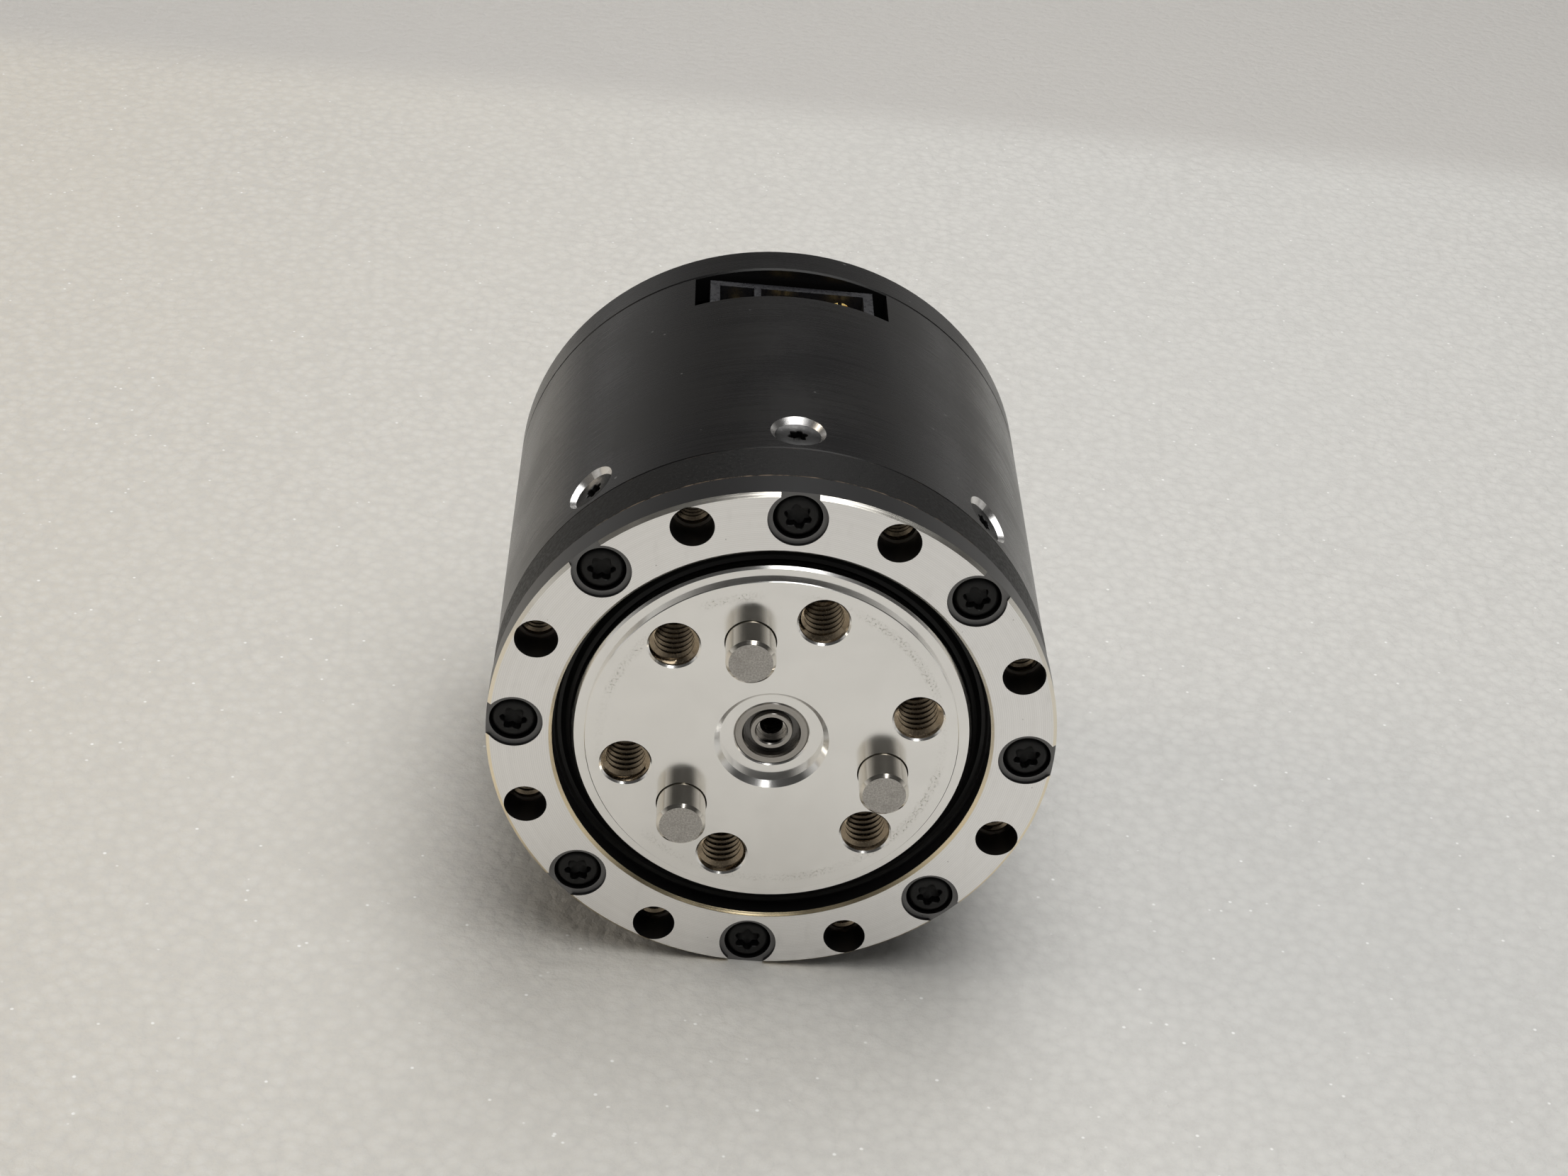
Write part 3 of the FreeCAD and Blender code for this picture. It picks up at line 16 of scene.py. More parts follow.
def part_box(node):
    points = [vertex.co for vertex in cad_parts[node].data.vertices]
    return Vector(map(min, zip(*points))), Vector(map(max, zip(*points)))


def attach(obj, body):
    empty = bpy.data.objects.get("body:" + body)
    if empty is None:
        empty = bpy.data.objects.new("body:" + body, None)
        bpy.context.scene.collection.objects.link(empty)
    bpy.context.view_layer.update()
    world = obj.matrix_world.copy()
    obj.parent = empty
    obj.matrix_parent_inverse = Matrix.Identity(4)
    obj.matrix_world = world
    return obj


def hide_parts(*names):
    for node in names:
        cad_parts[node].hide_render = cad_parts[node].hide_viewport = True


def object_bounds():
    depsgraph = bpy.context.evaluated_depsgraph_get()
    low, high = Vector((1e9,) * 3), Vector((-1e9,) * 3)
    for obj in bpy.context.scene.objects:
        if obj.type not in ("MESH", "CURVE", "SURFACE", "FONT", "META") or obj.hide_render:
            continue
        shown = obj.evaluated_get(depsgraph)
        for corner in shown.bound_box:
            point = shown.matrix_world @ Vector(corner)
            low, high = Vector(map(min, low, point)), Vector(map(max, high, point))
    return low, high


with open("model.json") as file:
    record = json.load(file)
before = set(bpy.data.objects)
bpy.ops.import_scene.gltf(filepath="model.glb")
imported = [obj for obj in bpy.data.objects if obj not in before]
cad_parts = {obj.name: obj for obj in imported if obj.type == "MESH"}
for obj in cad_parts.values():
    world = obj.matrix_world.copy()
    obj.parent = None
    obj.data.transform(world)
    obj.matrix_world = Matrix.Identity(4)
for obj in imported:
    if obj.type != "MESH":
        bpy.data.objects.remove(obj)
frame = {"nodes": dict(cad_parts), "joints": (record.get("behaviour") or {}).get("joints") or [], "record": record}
cad_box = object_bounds()
nodes = frame["nodes"]
mounts = {mount["name"]: mount for mount in frame["record"]["mounts"]}

MM = 0.001
FULL_TURN = 360.0                               # degrees

# ---------------------------------------------------------------- sizes read from the frame
mount_dims = mounts["front_mount"]["dims"]
output_dims = mounts["output_threads"]["dims"]
MOUNT_COUNT = int(mount_dims["count"])
MOUNT_RADIUS = mount_dims["pcd_mm"] / 2
OUTPUT_COUNT = int(output_dims["count"])
OUTPUT_RADIUS = output_dims["pcd_mm"] / 2
OUTPUT_THREAD = output_dims["hole_r_mm"]


def span(node, axis):
    """Lowest and highest place of a CAD node along an axis (0, 1 or 2), in millimetres."""
    low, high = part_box(node)
    return low[axis] / MM, high[axis] / MM


PLATE_REAR = span("front_plate", 1)[1]
CASE_REAR = span("motor_housing", 1)[0]         # the gear case ends where the housing starts
FLOOR = cad_box[0].z / MM
pin_place = next(joint["pos_m"] for joint in frame["joints"] if joint["name"] == "planet_1_spin")
PIN_ANGLE = math.degrees(math.atan2(pin_place[0], pin_place[2]))


# ---------------------------------------------------------------- shader helper
MIX_SOCKETS = {"FLOAT": (2, 3, 0), "RGBA": (6, 7, 2)}      # a Mix node's A, B and Result
NOISE_RANGE = (0.3, 0.7)                        # most of a noise lies between these


class Shader:
    """A node material around one Principled shader, with sockets passed to short methods."""

    def __init__(self, name, **settings):
        self.material = bpy.data.materials.new(name)
        self.material.use_nodes = True
        self.tree = self.material.node_tree
        self.bsdf = self.tree.nodes["Principled BSDF"]
        for label, value in settings.items():
            self.bsdf.inputs[label.replace("_", " ")].default_value = value
        coords = self.node("ShaderNodeTexCoord").outputs
        self.point = self.vector("MULTIPLY", coords["Object"], (1 / MM,) * 3)
        self.x, self.y, self.z = self.node("ShaderNodeSeparateXYZ", self.point).outputs
        flat = self.stretch((1, 0, 1))
        self.radius = self.vector("LENGTH", flat, result="Value")
        self.outward = self.vector("NORMALIZE", flat)
        self.normal = coords["Normal"]
        self.facing = self.node("ShaderNodeSeparateXYZ", self.normal).outputs["Y"]
        self.angle = self.math("ARCTAN2", self.x, self.z)

    def node(self, kind, *values, **inputs):
        """A node with values on its first sockets, and inputs on its sockets of those names."""
        made = self.tree.nodes.new(kind)
        for value, socket in zip(values, made.inputs):
            self.plug(value, socket)
        for label, value in inputs.items():
            self.plug(value, made.inputs[label.replace("_", " ")])
        return made

    def plug(self, value, socket):
        """Links a socket, or sets a plain value."""
        if isinstance(value, bpy.types.NodeSocket):
            self.tree.links.new(value, socket)
        else:
            socket.default_value = value

    def math(self, operation, *values, clamp=False):
        """A number from numbers; clamp keeps it within 0..1."""
        made = self.node("ShaderNodeMath", *values)
        made.operation = operation
        made.use_clamp = clamp
        return made.outputs[0]

    def times(self, first, second):
        return self.math("MULTIPLY", first, second)

    def plus(self, first, second):
        return self.math("ADD", first, second)

    def vector(self, operation, *values, result="Vector"):
        """A vector from vectors, or a number where the result is called Value."""
        made = self.node("ShaderNodeVectorMath", *values)
        made.operation = operation
        return made.outputs[result]

    def stretch(self, factors):
        """The place in millimetres, with each coordinate multiplied by its own factor."""
        return self.vector("MULTIPLY", self.point, factors)

    def ramp(self, value, low, high, bottom=0.0, top=1.0):
        """Maps value from low..high to bottom..top, smoothly and within those limits."""
        made = self.node("ShaderNodeMapRange", value, low, high, bottom, top)
        made.interpolation_type = "SMOOTHSTEP"
        return made.outputs[0]

    def fall(self, value, low, high):
        """1 where value is under low, and 0 where it is over high."""
        return self.ramp(value, low, high, 1.0, 0.0)

    def band(self, value, low, high, soft):
        """1 where value lies between low and high, and 0 elsewhere."""
        return self.times(self.ramp(value, low - soft, low + soft),
                          self.fall(value, high - soft, high + soft))

    def spread(self, noise, low, high):
        """A noise spread over low..high."""
        return self.ramp(noise, *NOISE_RANGE, low, high)

    def wave(self, across, pitch):
        """A sine along a coordinate, with one period per pitch."""
        return self.math("SINE", self.times(across, 2 * math.pi / pitch))

    def noise(self, scale, vector=None, detail=3.0, roughness=0.5, distortion=0.0):
        """A soft noise around 0.5, at scale features per millimetre."""
        made = self.node("ShaderNodeTexNoise", Vector=vector or self.point, Scale=scale,
                         Detail=detail, Roughness=roughness, Distortion=distortion)
        return made.outputs["Fac"]

    def streaks(self, across, along=0.0, detail=3.0):
        """A noise over two coordinates, drawn out along the one that grows more slowly."""
        vector = self.node("ShaderNodeCombineXYZ", across, along).outputs["Vector"]
        return self.noise(1.0, vector, detail)

    def cells(self, scale, vector=None, feature="F1"):
        """Distance to the nearest of scattered points, or to the edge of its cell."""
        made = self.node("ShaderNodeTexVoronoi", Vector=vector or self.point, Scale=scale)
        made.feature = feature
        return made.outputs["Distance"]

    def between(self, data_type, factor, first, second):
        """The first value at a factor of 0 and the second at 1."""
        made = self.node("ShaderNodeMix", factor)
        made.data_type = data_type
        start, end, result = MIX_SOCKETS[data_type]
        self.plug(first, made.inputs[start])
        self.plug(second, made.inputs[end])
        return made.outputs[result]

    def mix(self, factor, first, second):
        """A colour between two colours."""
        return self.between("RGBA", factor, first, second)

    def blend(self, factor, first, second):
        """A number between two numbers."""
        return self.between("FLOAT", factor, first, second)

    def bump(self, height, distance, strength=1.0):
        """A normal for a height of 0..1, where 1 stands distance millimetres high."""
        made = self.node("ShaderNodeBump", Height=height, Distance=distance * MM,
                         Strength=strength)
        return made.outputs["Normal"]

    def around_axis(self):
        """Grain direction of a turned surface."""
        made = self.node("ShaderNodeTangent")
        made.direction_type = "RADIAL"
        made.axis = "Y"
        self.plug(made.outputs["Tangent"], self.bsdf.inputs["Tangent"])

    def set(self, **sockets):
        """Fills sockets of the Principled shader and gives its material."""
        for label, value in sockets.items():
            self.plug(value, self.bsdf.inputs[label.replace("_", " ")])
        return self.material


def grey(level, warm=0.0):
    """An RGBA grey; warm shifts it from blue towards red."""
    return (level * (1 + warm), level, level * (1 - warm), 1.0)


# ---------------------------------------------------------------- finishes
BLACK = (0.0065, 0.0062, 0.0066, 1.0)
BROWN_BLACK = (0.0065, 0.0060, 0.0058, 1.0)
BEVEL_TILT = (-0.95, -0.8)          # from the level face's normal to the bevels', along Y
PAINTED_BEVEL_REFLECTION = (-15.0, 15.0)          # painted reflection: bevels are golden low down and pale high up
CONE_FRONT = CASE_REAR + 0.4        # the housing's countersinks lie between these stations
CONE_REAR = CASE_REAR + 5.4
CONE_TILT = (0.5, 0.85)             # share of the outward direction in a countersink's normal
BRIGHT_DEPTH = (0.32, 0.36)         # the plate is bright down to here
LATHE_FEED = 0.17                   # between the tool marks of the plate
PLATE_WEAR = 0.17                   # the plate's scuffs reach this far from its rear edge
CASE_WEAR = 0.16                    # and the gear case's this far from both its joints
CASE_SKIN = MOUNT_RADIUS + 1.2      # the gear case is oxidised outside this radius
RUB_RING = (13.5, 14.2)             # radii of the rubbed ring on the flange
RUB_SEED = 4.2                      # picks which arcs of it are rubbed
HOLE_SHADE_DEPTH = (1.2, 4.0)             # painted shade: the flange's holes darken between these depths
SCRATCH_WIDTH = 0.0016              # in units of the noise that bends the scratches
SHEET = 0.35                        # one electrical steel sheet
WIRE = 0.42                         # one turn of enamelled wire


def turned_lines(shader, across, pitch):
    """Tool marks at a pitch along the coordinate across, uneven as real ones are."""
    return shader.plus(shader.times(shader.wave(across, pitch), 0.25),
                       shader.streaks(shader.times(across, 2.2)))


def black_anodise():
    """Satin black anodise with faint lathe marks, dust, and bare metal in the countersinks."""
    shader = Shader("black_anodise", Metallic=0.0, IOR=1.5, Specular_IOR_Level=0.3)
    marks = shader.streaks(shader.times(shader.y, 9.0), shader.times(shader.angle, 1.6), 4.0)
    cloud = shader.noise(0.12, detail=4.0)
    dust = shader.fall(shader.cells(0.35), 0.035, 0.06)
    skin = shader.mix(shader.ramp(cloud, 0.35, 0.7), BLACK, BROWN_BLACK)
    skin = shader.mix(dust, skin, grey(0.07))
    rough = shader.plus(shader.spread(cloud, 0.24, 0.31), shader.spread(marks, -0.03, 0.04))
    tilt = shader.vector("DOT_PRODUCT", shader.normal, shader.outward, result="Value")
    cone = shader.times(shader.band(tilt, *CONE_TILT, 0.02),
                        shader.band(shader.y, CONE_FRONT, CONE_REAR, 0.05))
    bare = shader.mix(shader.noise(6.0, detail=2.0), grey(0.62, 0.02), grey(0.85, 0.01))
    return shader.set(Base_Color=shader.mix(cone, skin, bare), Metallic=cone,
                      Roughness=shader.blend(cone, rough, 0.24),
                      Normal=shader.bump(marks, 0.004))


def faced_plate():
    """Black anodised plate whose front face was turned bright afterwards."""
    shader = Shader("faced_plate", IOR=1.5, Anisotropic=0.35)
    shader.around_axis()
    face = shader.times(shader.fall(shader.facing, -0.55, -0.45),
                        shader.fall(shader.y, *BRIGHT_DEPTH))
    chamfer = shader.times(face, shader.ramp(shader.facing, *BEVEL_TILT))
    lines = turned_lines(shader, shader.radius, LATHE_FEED)
    cloud = shader.noise(0.25)
    smear = shader.noise(0.9, shader.stretch((1.0, 1.0, 0.4)))
    specks = shader.ramp(shader.cells(0.8), 0.03, 0.05, 0.8, 0.0)
    metal = shader.mix(shader.ramp(lines, 0.2, 0.9), grey(0.84, 0.012), grey(0.93, 0.008))
    metal = shader.mix(shader.ramp(smear, 0.55, 0.8, 0.0, 0.25), metal, grey(0.60, 0.03))
    metal = shader.mix(specks, metal, grey(0.25, 0.05))
    # painted reflection on the plate's bevels: golden low down and pale high up
    bevel_reflection = shader.mix(shader.ramp(shader.z, *PAINTED_BEVEL_REFLECTION), (0.90, 0.76, 0.50, 1.0),
                       (0.90, 0.87, 0.80, 1.0))
    metal = shader.mix(chamfer, metal, bevel_reflection)
    rear_edge = shader.band(shader.y, PLATE_REAR - PLATE_WEAR, PLATE_REAR, 0.02)
    worn = shader.times(rear_edge, shader.ramp(shader.noise(1.4, detail=4.0), 0.42, 0.6))
    side = shader.mix(worn, BLACK, (0.10, 0.075, 0.055, 1.0))
    return shader.set(Base_Color=shader.mix(face, side, metal), Metallic=face,
                      Roughness=shader.blend(face, 0.36, shader.spread(cloud, 0.19, 0.27)),
                      Normal=shader.bump(shader.times(lines, face), 0.003))


def gear_case():
    """Black oxide steel with a pitted skin, scuffed at its joints and bare inside."""
    shader = Shader("gear_case_oxide", Metallic=0.0, IOR=1.5, Specular_IOR_Level=0.2)
    grain = shader.noise(3.2, detail=4.0)
    pits = shader.times(shader.fall(shader.cells(2.6, shader.stretch((1.0, 1.6, 1.0))), 0.10, 0.28),
                        shader.ramp(grain, 0.48, 0.62))
    inside = shader.math("SUBTRACT", 1.0, shader.ramp(shader.radius, CASE_SKIN, CASE_SKIN + 0.3))
    edges = shader.math("ADD", shader.band(shader.y, PLATE_REAR, PLATE_REAR + CASE_WEAR, 0.02),
                        shader.band(shader.y, CASE_REAR - CASE_WEAR, CASE_REAR, 0.02), clamp=True)
    scuff = shader.times(edges, shader.ramp(shader.noise(1.1, detail=5.0), 0.45, 0.65))
    colour = shader.mix(shader.ramp(grain, 0.3, 0.75), (0.0032, 0.0030, 0.0030, 1.0),
                        (0.0060, 0.0056, 0.0053, 1.0))
    colour = shader.mix(scuff, colour, (0.16, 0.12, 0.085, 1.0))
    colour = shader.mix(inside, colour, (0.30, 0.27, 0.23, 1.0))
    height = shader.math("SUBTRACT", shader.times(grain, 0.4), pits)
    return shader.set(Base_Color=colour, Metallic=inside,
                      Roughness=shader.spread(grain, 0.42, 0.55),
                      Normal=shader.bump(height, 0.05, 0.8))


def flange_polish():
    """Polished steel flange: fine lapping marks, hairline scratches and grey rub marks."""
    shader = Shader("flange_polish", Metallic=1.0, Anisotropic=0.25)
    shader.around_axis()
    cloud = shader.noise(0.18, detail=4.0, distortion=0.6)
    lapping = shader.streaks(shader.times(shader.radius, 7.0), shader.times(shader.angle, 2.0))
    on_face = shader.times(shader.fall(shader.facing, -0.98, -0.93),
                           shader.fall(shader.y, 0.02, 0.04))
    arcs = shader.streaks(shader.times(shader.angle, 1.7), RUB_SEED)
    speckle = shader.noise(4.5, detail=5.0, roughness=0.75)
    rub = shader.times(shader.band(shader.radius, *RUB_RING, 0.2), shader.ramp(arcs, 0.40, 0.58))
    rub = shader.times(rub, shader.ramp(speckle, 0.50, 0.60, 0.05, 0.75))
    rub = shader.times(rub, on_face)
    bends = shader.noise(0.55, shader.stretch((1.0, 1.0, 3.4)), detail=1.0, distortion=1.6)
    scratch = shader.math("ABSOLUTE", shader.math("SUBTRACT", bends, 0.52))
    scratch = shader.times(shader.ramp(scratch, 0.0, SCRATCH_WIDTH, 0.55, 0.0), on_face)
    scratch = shader.times(scratch, shader.ramp(shader.noise(0.3, detail=1.0), 0.5, 0.62))
    colour = shader.mix(shader.ramp(cloud, *NOISE_RANGE), (0.88, 0.87, 0.85, 1.0),
                        (0.93, 0.92, 0.90, 1.0))
    colour = shader.mix(rub, colour, (0.46, 0.44, 0.40, 1.0))
    colour = shader.mix(scratch, colour, (0.42, 0.41, 0.40, 1.0))
    # painted shade: darker deeper in the flange's holes
    colour = shader.mix(shader.ramp(shader.y, *HOLE_SHADE_DEPTH), colour, (0.40, 0.36, 0.31, 1.0))
    rough = shader.plus(shader.spread(cloud, 0.13, 0.19), shader.times(rub, 0.25))
    height = shader.plus(shader.times(lapping, 0.5), rub)
    return shader.set(Base_Color=colour, Roughness=rough, Normal=shader.bump(height, 0.0012))


def ground_pin():
    """Ground cylinder with a sawn, grey, slightly speckled end face."""
    shader = Shader("ground_pin", Metallic=1.0)
    end = shader.fall(shader.facing, -0.97, -0.9)
    speckle = shader.noise(7.0, roughness=0.7)
    blot = shader.noise(1.1, detail=2.0)
    face = shader.mix(shader.ramp(speckle, 0.35, 0.7), (0.36, 0.345, 0.325, 1.0),
                      (0.56, 0.54, 0.515, 1.0))
    face = shader.mix(shader.ramp(blot, 0.5, 0.75, 0.0, 0.5), face, (0.33, 0.31, 0.29, 1.0))
    stripes = shader.streaks(shader.times(shader.y, 14.0))
    wall = shader.mix(stripes, (0.66, 0.62, 0.55, 1.0), (0.80, 0.765, 0.70, 1.0))
    return shader.set(Base_Color=shader.mix(end, wall, face),
                      Roughness=shader.blend(end, shader.spread(stripes, 0.09, 0.16), 0.42),
                      Normal=shader.bump(shader.times(speckle, end), 0.012))


def black_oxide():
    """Black oxide of the screws, a little worn in patches."""
    shader = Shader("black_oxide", Metallic=0.0, IOR=1.5, Specular_IOR_Level=0.3)
    grain = shader.noise(5.0, detail=4.0)
    worn = shader.ramp(shader.noise(1.6, detail=5.0), 0.6, 0.78)
    colour = shader.mix(shader.ramp(grain, *NOISE_RANGE), grey(0.0022),
                        (0.0045, 0.0043, 0.0042, 1.0))
    colour = shader.mix(worn, colour, (0.014, 0.013, 0.012, 1.0))
    return shader.set(Base_Color=colour, Roughness=shader.spread(grain, 0.34, 0.48),
                      Normal=shader.bump(grain, 0.006))


def rubber():
    """Black rubber of the seal."""
    shader = Shader("seal_rubber", Metallic=0.0, IOR=1.45, Specular_IOR_Level=0.3)
    grain = shader.noise(4.0, detail=4.0)
    return shader.set(Base_Color=shader.mix(grain, grey(0.003), (0.006, 0.0058, 0.0055, 1.0)),
                      Roughness=shader.spread(grain, 0.28, 0.4),
                      Normal=shader.bump(grain, 0.004))


def plain_metal(name, dark, light, rough=(0.2, 0.3), scale=2.0, turned=True):
    """A machined metal: fine marks round the axis, or an even grain."""
    shader = Shader(name, Metallic=1.0, Anisotropic=0.3 if turned else 0.0)
    if turned:
        shader.around_axis()
        across = shader.plus(shader.radius, shader.y)
        grain = shader.streaks(shader.times(across, 4 * scale), shader.angle)
    else:
        grain = shader.noise(2 * scale, detail=4.0)
    return shader.set(Base_Color=shader.mix(grain, dark, light),
                      Roughness=shader.spread(grain, *rough),
                      Normal=shader.bump(grain, 0.003))


def plain_plastic(name, dark, light, rough=(0.35, 0.5)):
    """A moulded plastic with an even grain."""
    shader = Shader(name, Metallic=0.0, IOR=1.5)
    grain = shader.noise(3.0, detail=4.0)
    return shader.set(Base_Color=shader.mix(grain, dark, light),
                      Roughness=shader.spread(grain, *rough),
                      Normal=shader.bump(grain, 0.008))


def laminations():
    """Stack of thin electrical steel sheets along the axis."""
    shader = Shader("laminations", Metallic=0.8)
    edge = shader.ramp(shader.wave(shader.y, SHEET), -0.9, -0.5)
    colour = shader.mix(edge, (0.05, 0.05, 0.055, 1.0), (0.22, 0.22, 0.235, 1.0))
    return shader.set(Base_Color=colour, Roughness=shader.ramp(edge, 0.0, 1.0, 0.6, 0.4),
                      Normal=shader.bump(edge, 0.03))


def wound_copper():
    """Enamelled wire laid side by side on the coils."""
    shader = Shader("wound_copper", Metallic=0.9, Coat_Weight=0.5, Coat_Roughness=0.2)
    turns = shader.ramp(shader.wave(shader.radius, WIRE), -1.0, 0.6)
    # painted shade: the colour darkens into the grooves between turns
    colour = shader.mix(turns, (0.20, 0.07, 0.03, 1.0), (0.70, 0.30, 0.14, 1.0))
    return shader.set(Base_Color=colour, Roughness=shader.ramp(turns, 0.0, 1.0, 0.5, 0.3),
                      Normal=shader.bump(turns, 0.08))


def circuit_board():
    """Green solder mask over copper tracks, with bare laminate at the edge."""
    shader = Shader("circuit_board", Metallic=0.0, IOR=1.5, Coat_Weight=0.3)
    track = shader.fall(shader.cells(0.55, feature="DISTANCE_TO_EDGE"), 0.05, 0.08)
    face = shader.ramp(shader.math("ABSOLUTE", shader.facing), 0.5, 0.6)
    mask = shader.mix(track, (0.008, 0.055, 0.022, 1.0), (0.02, 0.11, 0.045, 1.0))
    colour = shader.mix(face, (0.28, 0.25, 0.13, 1.0), mask)
    return shader.set(Base_Color=colour, Roughness=shader.blend(face, 0.7, 0.3),
                      Normal=shader.bump(shader.times(track, face), 0.03))


def gold():
    """Gold plating of the connector pins."""
    shader = Shader("gold_contact", Metallic=0.45)
    grain = shader.noise(5.0)
    colour = shader.mix(grain, (0.75, 0.50, 0.14, 1.0), (0.95, 0.72, 0.28, 1.0))
    return shader.set(Base_Color=colour, Roughness=shader.spread(grain, 0.16, 0.28),
                      Normal=shader.bump(grain, 0.004))


FINISHES = {
    "anodise": black_anodise(),
    "plate": faced_plate(),
    "case": gear_case(),
    "flange": flange_polish(),
    "pin": ground_pin(),
    "oxide": black_oxide(),
    "rubber": rubber(),
    "bearing": plain_metal("bearing_steel", (0.30, 0.285, 0.265, 1.0), (0.46, 0.44, 0.415, 1.0),
                           (0.14, 0.24)),
    "shield": plain_metal("bearing_shield", (0.09, 0.088, 0.085, 1.0), (0.17, 0.165, 0.16, 1.0),
                          (0.25, 0.35)),
    "gear": plain_metal("gear_steel", (0.34, 0.33, 0.32, 1.0), (0.52, 0.51, 0.49, 1.0),
                        (0.25, 0.38), turned=False),
    "shaft": plain_metal("shaft_steel", (0.55, 0.53, 0.50, 1.0), (0.70, 0.68, 0.65, 1.0)),
    "aluminium": plain_metal("turned_aluminium", (0.62, 0.62, 0.61, 1.0), (0.78, 0.78, 0.77, 1.0),
                             (0.28, 0.4)),
    "thread": plain_metal("cut_thread", (0.20, 0.155, 0.105, 1.0), (0.42, 0.345, 0.25, 1.0),
                          (0.16, 0.28), 3.0, False),
    "bronze": plain_metal("sintered_bronze", (0.38, 0.22, 0.10, 1.0), (0.58, 0.38, 0.20, 1.0),
                          (0.35, 0.5), 4.0, False),
    "brass": plain_metal("turned_brass", (0.55, 0.40, 0.15, 1.0), (0.75, 0.58, 0.27, 1.0)),
    "magnet": plain_metal("nickel_magnet", (0.48, 0.47, 0.45, 1.0), (0.60, 0.59, 0.57, 1.0),
                          (0.18, 0.3), 1.0, False),
    "zinc": plain_metal("dark_zinc", (0.16, 0.16, 0.165, 1.0), (0.28, 0.28, 0.285, 1.0),
                        (0.3, 0.42), 2.0, False),
    "laminations": laminations(),
    "copper": wound_copper(),
    "board": circuit_board(),
    "chip": plain_plastic("moulded_package", grey(0.010), grey(0.022), (0.45, 0.6)),
    "can": plain_metal("capacitor_can", grey(0.52), grey(0.66), (0.25, 0.35), 1.0, False),
    "shell": plain_plastic("connector_plastic", (0.012, 0.012, 0.014, 1.0),
                           (0.022, 0.022, 0.026, 1.0), (0.25, 0.38)),
    "gold": gold(),
    "jacket": plain_plastic("lead_jacket", (0.30, 0.02, 0.015, 1.0), (0.42, 0.04, 0.03, 1.0)),
}

NODE_FINISH = {
    "motor_housing": "anodise", "rear_cover": "anodise", "front_plate": "plate",
    "ring_gear": "case", "output_flange": "flange", "planet_pins": "pin",
    "front_screws": "oxide", "ring_gear_screws": "oxide", "rear_cover_screws": "oxide",
    "output_seal": "rubber", "output_bearing_outer": "bearing",
    "output_bearing_inner": "bearing", "centre_bearing_outer": "bearing",
    "centre_bearing_inner": "bearing", "centre_bearing_shield": "shield",
    "retaining_ring": "zinc", "carrier_plate": "gear", "carrier_screws": "zinc",
    "rotor_shaft": "shaft", "sun_gear": "gear", "rotor_core": "laminations",
    "rotor_magnets": "magnet", "encoder_magnet": "magnet", "magnet_holder": "brass",
    "rotor_bearing_front_outer": "bearing", "rotor_bearing_front_inner": "bearing",
    "rotor_bearing_rear_outer": "bearing", "rotor_bearing_rear_inner": "bearing",
    "bearing_plate_front": "aluminium", "bearing_plate_rear": "aluminium",
    "stator_core": "laminations", "stator_windings": "copper", "phase_leads": "jacket",
    "driver_board": "board", "board_screws": "zinc", "encoder_chip": "chip",
    "controller_chip": "chip", "power_transistors": "chip", "bus_capacitors": "can",
    "connector_shell": "shell", "power_pins": "gold", "signal_pins": "gold",
}
for name, node in nodes.items():            # only planet gears and their bushes aren't listed
    finish = NODE_FINISH.get(name) or ("bronze" if "bush" in name else "gear")
    node.data.materials.clear()
    node.data.materials.append(FINISHES[finish])


# ---------------------------------------------------------------- mesh helpers
TO_FRONT = Matrix.Rotation(math.pi / 2, 4, "X")        # turns a piece's own +Z to -Y
TO_REAR = Matrix.Rotation(-math.pi / 2, 4, "X")        # turns it to +Y
OUTWARD = Matrix.Identity(4)                           # leaves it pointing away from the axis


def stand(facing, radius, degrees, station=0.0):
    """Puts a piece's foot at a radius, an angle and a station, with its +Z turned by facing."""
    turn = Matrix.Rotation(math.radians(degrees), 4, "Y")
    return turn @ Matrix.Translation((0, station, radius)) @ facing


def lathe(rings, segments):
    """Vertices and faces of a closed form from rings of (radius or function of angle, height).

    A radius of 0 closes the form at that end.
    """
    points, faces, rows = [], [], []
    for radius, height in rings:
        if radius == 0:
            rows.append([len(points)] * segments)
            points.append(Vector((0, 0, height)))
            continue
        rows.append(list(range(len(points), len(points) + segments)))
        for i in range(segments):
            angle = 2 * math.pi * i / segments
            reach = radius(angle) if callable(radius) else radius
            points.append(Vector((reach * math.sin(angle), reach * math.cos(angle), height)))
    for lower, upper in zip(rows, rows[1:]):
        for i in range(segments):
            j = (i + 1) % segments
            corners = []
            for corner in (lower[i], upper[i], upper[j], lower[j]):
                if corner not in corners:
                    corners.append(corner)
            faces.append(corners)
    return points, faces


def link(name, data):
    """A new object in the scene."""
    made = bpy.data.objects.new(name, data)
    bpy.context.scene.collection.objects.link(made)
    return made


def make_piece(name, parts, finish, body, replaced=(), smooth=35.0):
    """One object from several (points, faces), in millimetres, riding on a body.

    Edges sharper than smooth, in degrees, stay sharp.
    """
    points, faces = [], []
    for part_points, part_faces in parts:
        offset = len(points)
        points += [point * MM for point in part_points]
        faces += [[offset + i for i in face] for face in part_faces]
    mesh = bpy.data.meshes.new(name)
    mesh.from_pydata([tuple(point) for point in points], [], faces)
    edit = bmesh.new()
    edit.from_mesh(mesh)
    bmesh.ops.recalc_face_normals(edit, faces=edit.faces)
    edit.to_mesh(mesh)
    edit.free()
    mesh.shade_smooth()
    mesh.set_sharp_from_angle(angle=math.radians(smooth))
    mesh.materials.append(FINISHES[finish])
    piece = link(name, mesh)
    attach(piece, body)
    if replaced:
        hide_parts(*replaced)


def moved(part, matrix):
    """A copy of (points, faces) in another place."""
    points, faces = part
    return [matrix @ point for point in points], faces


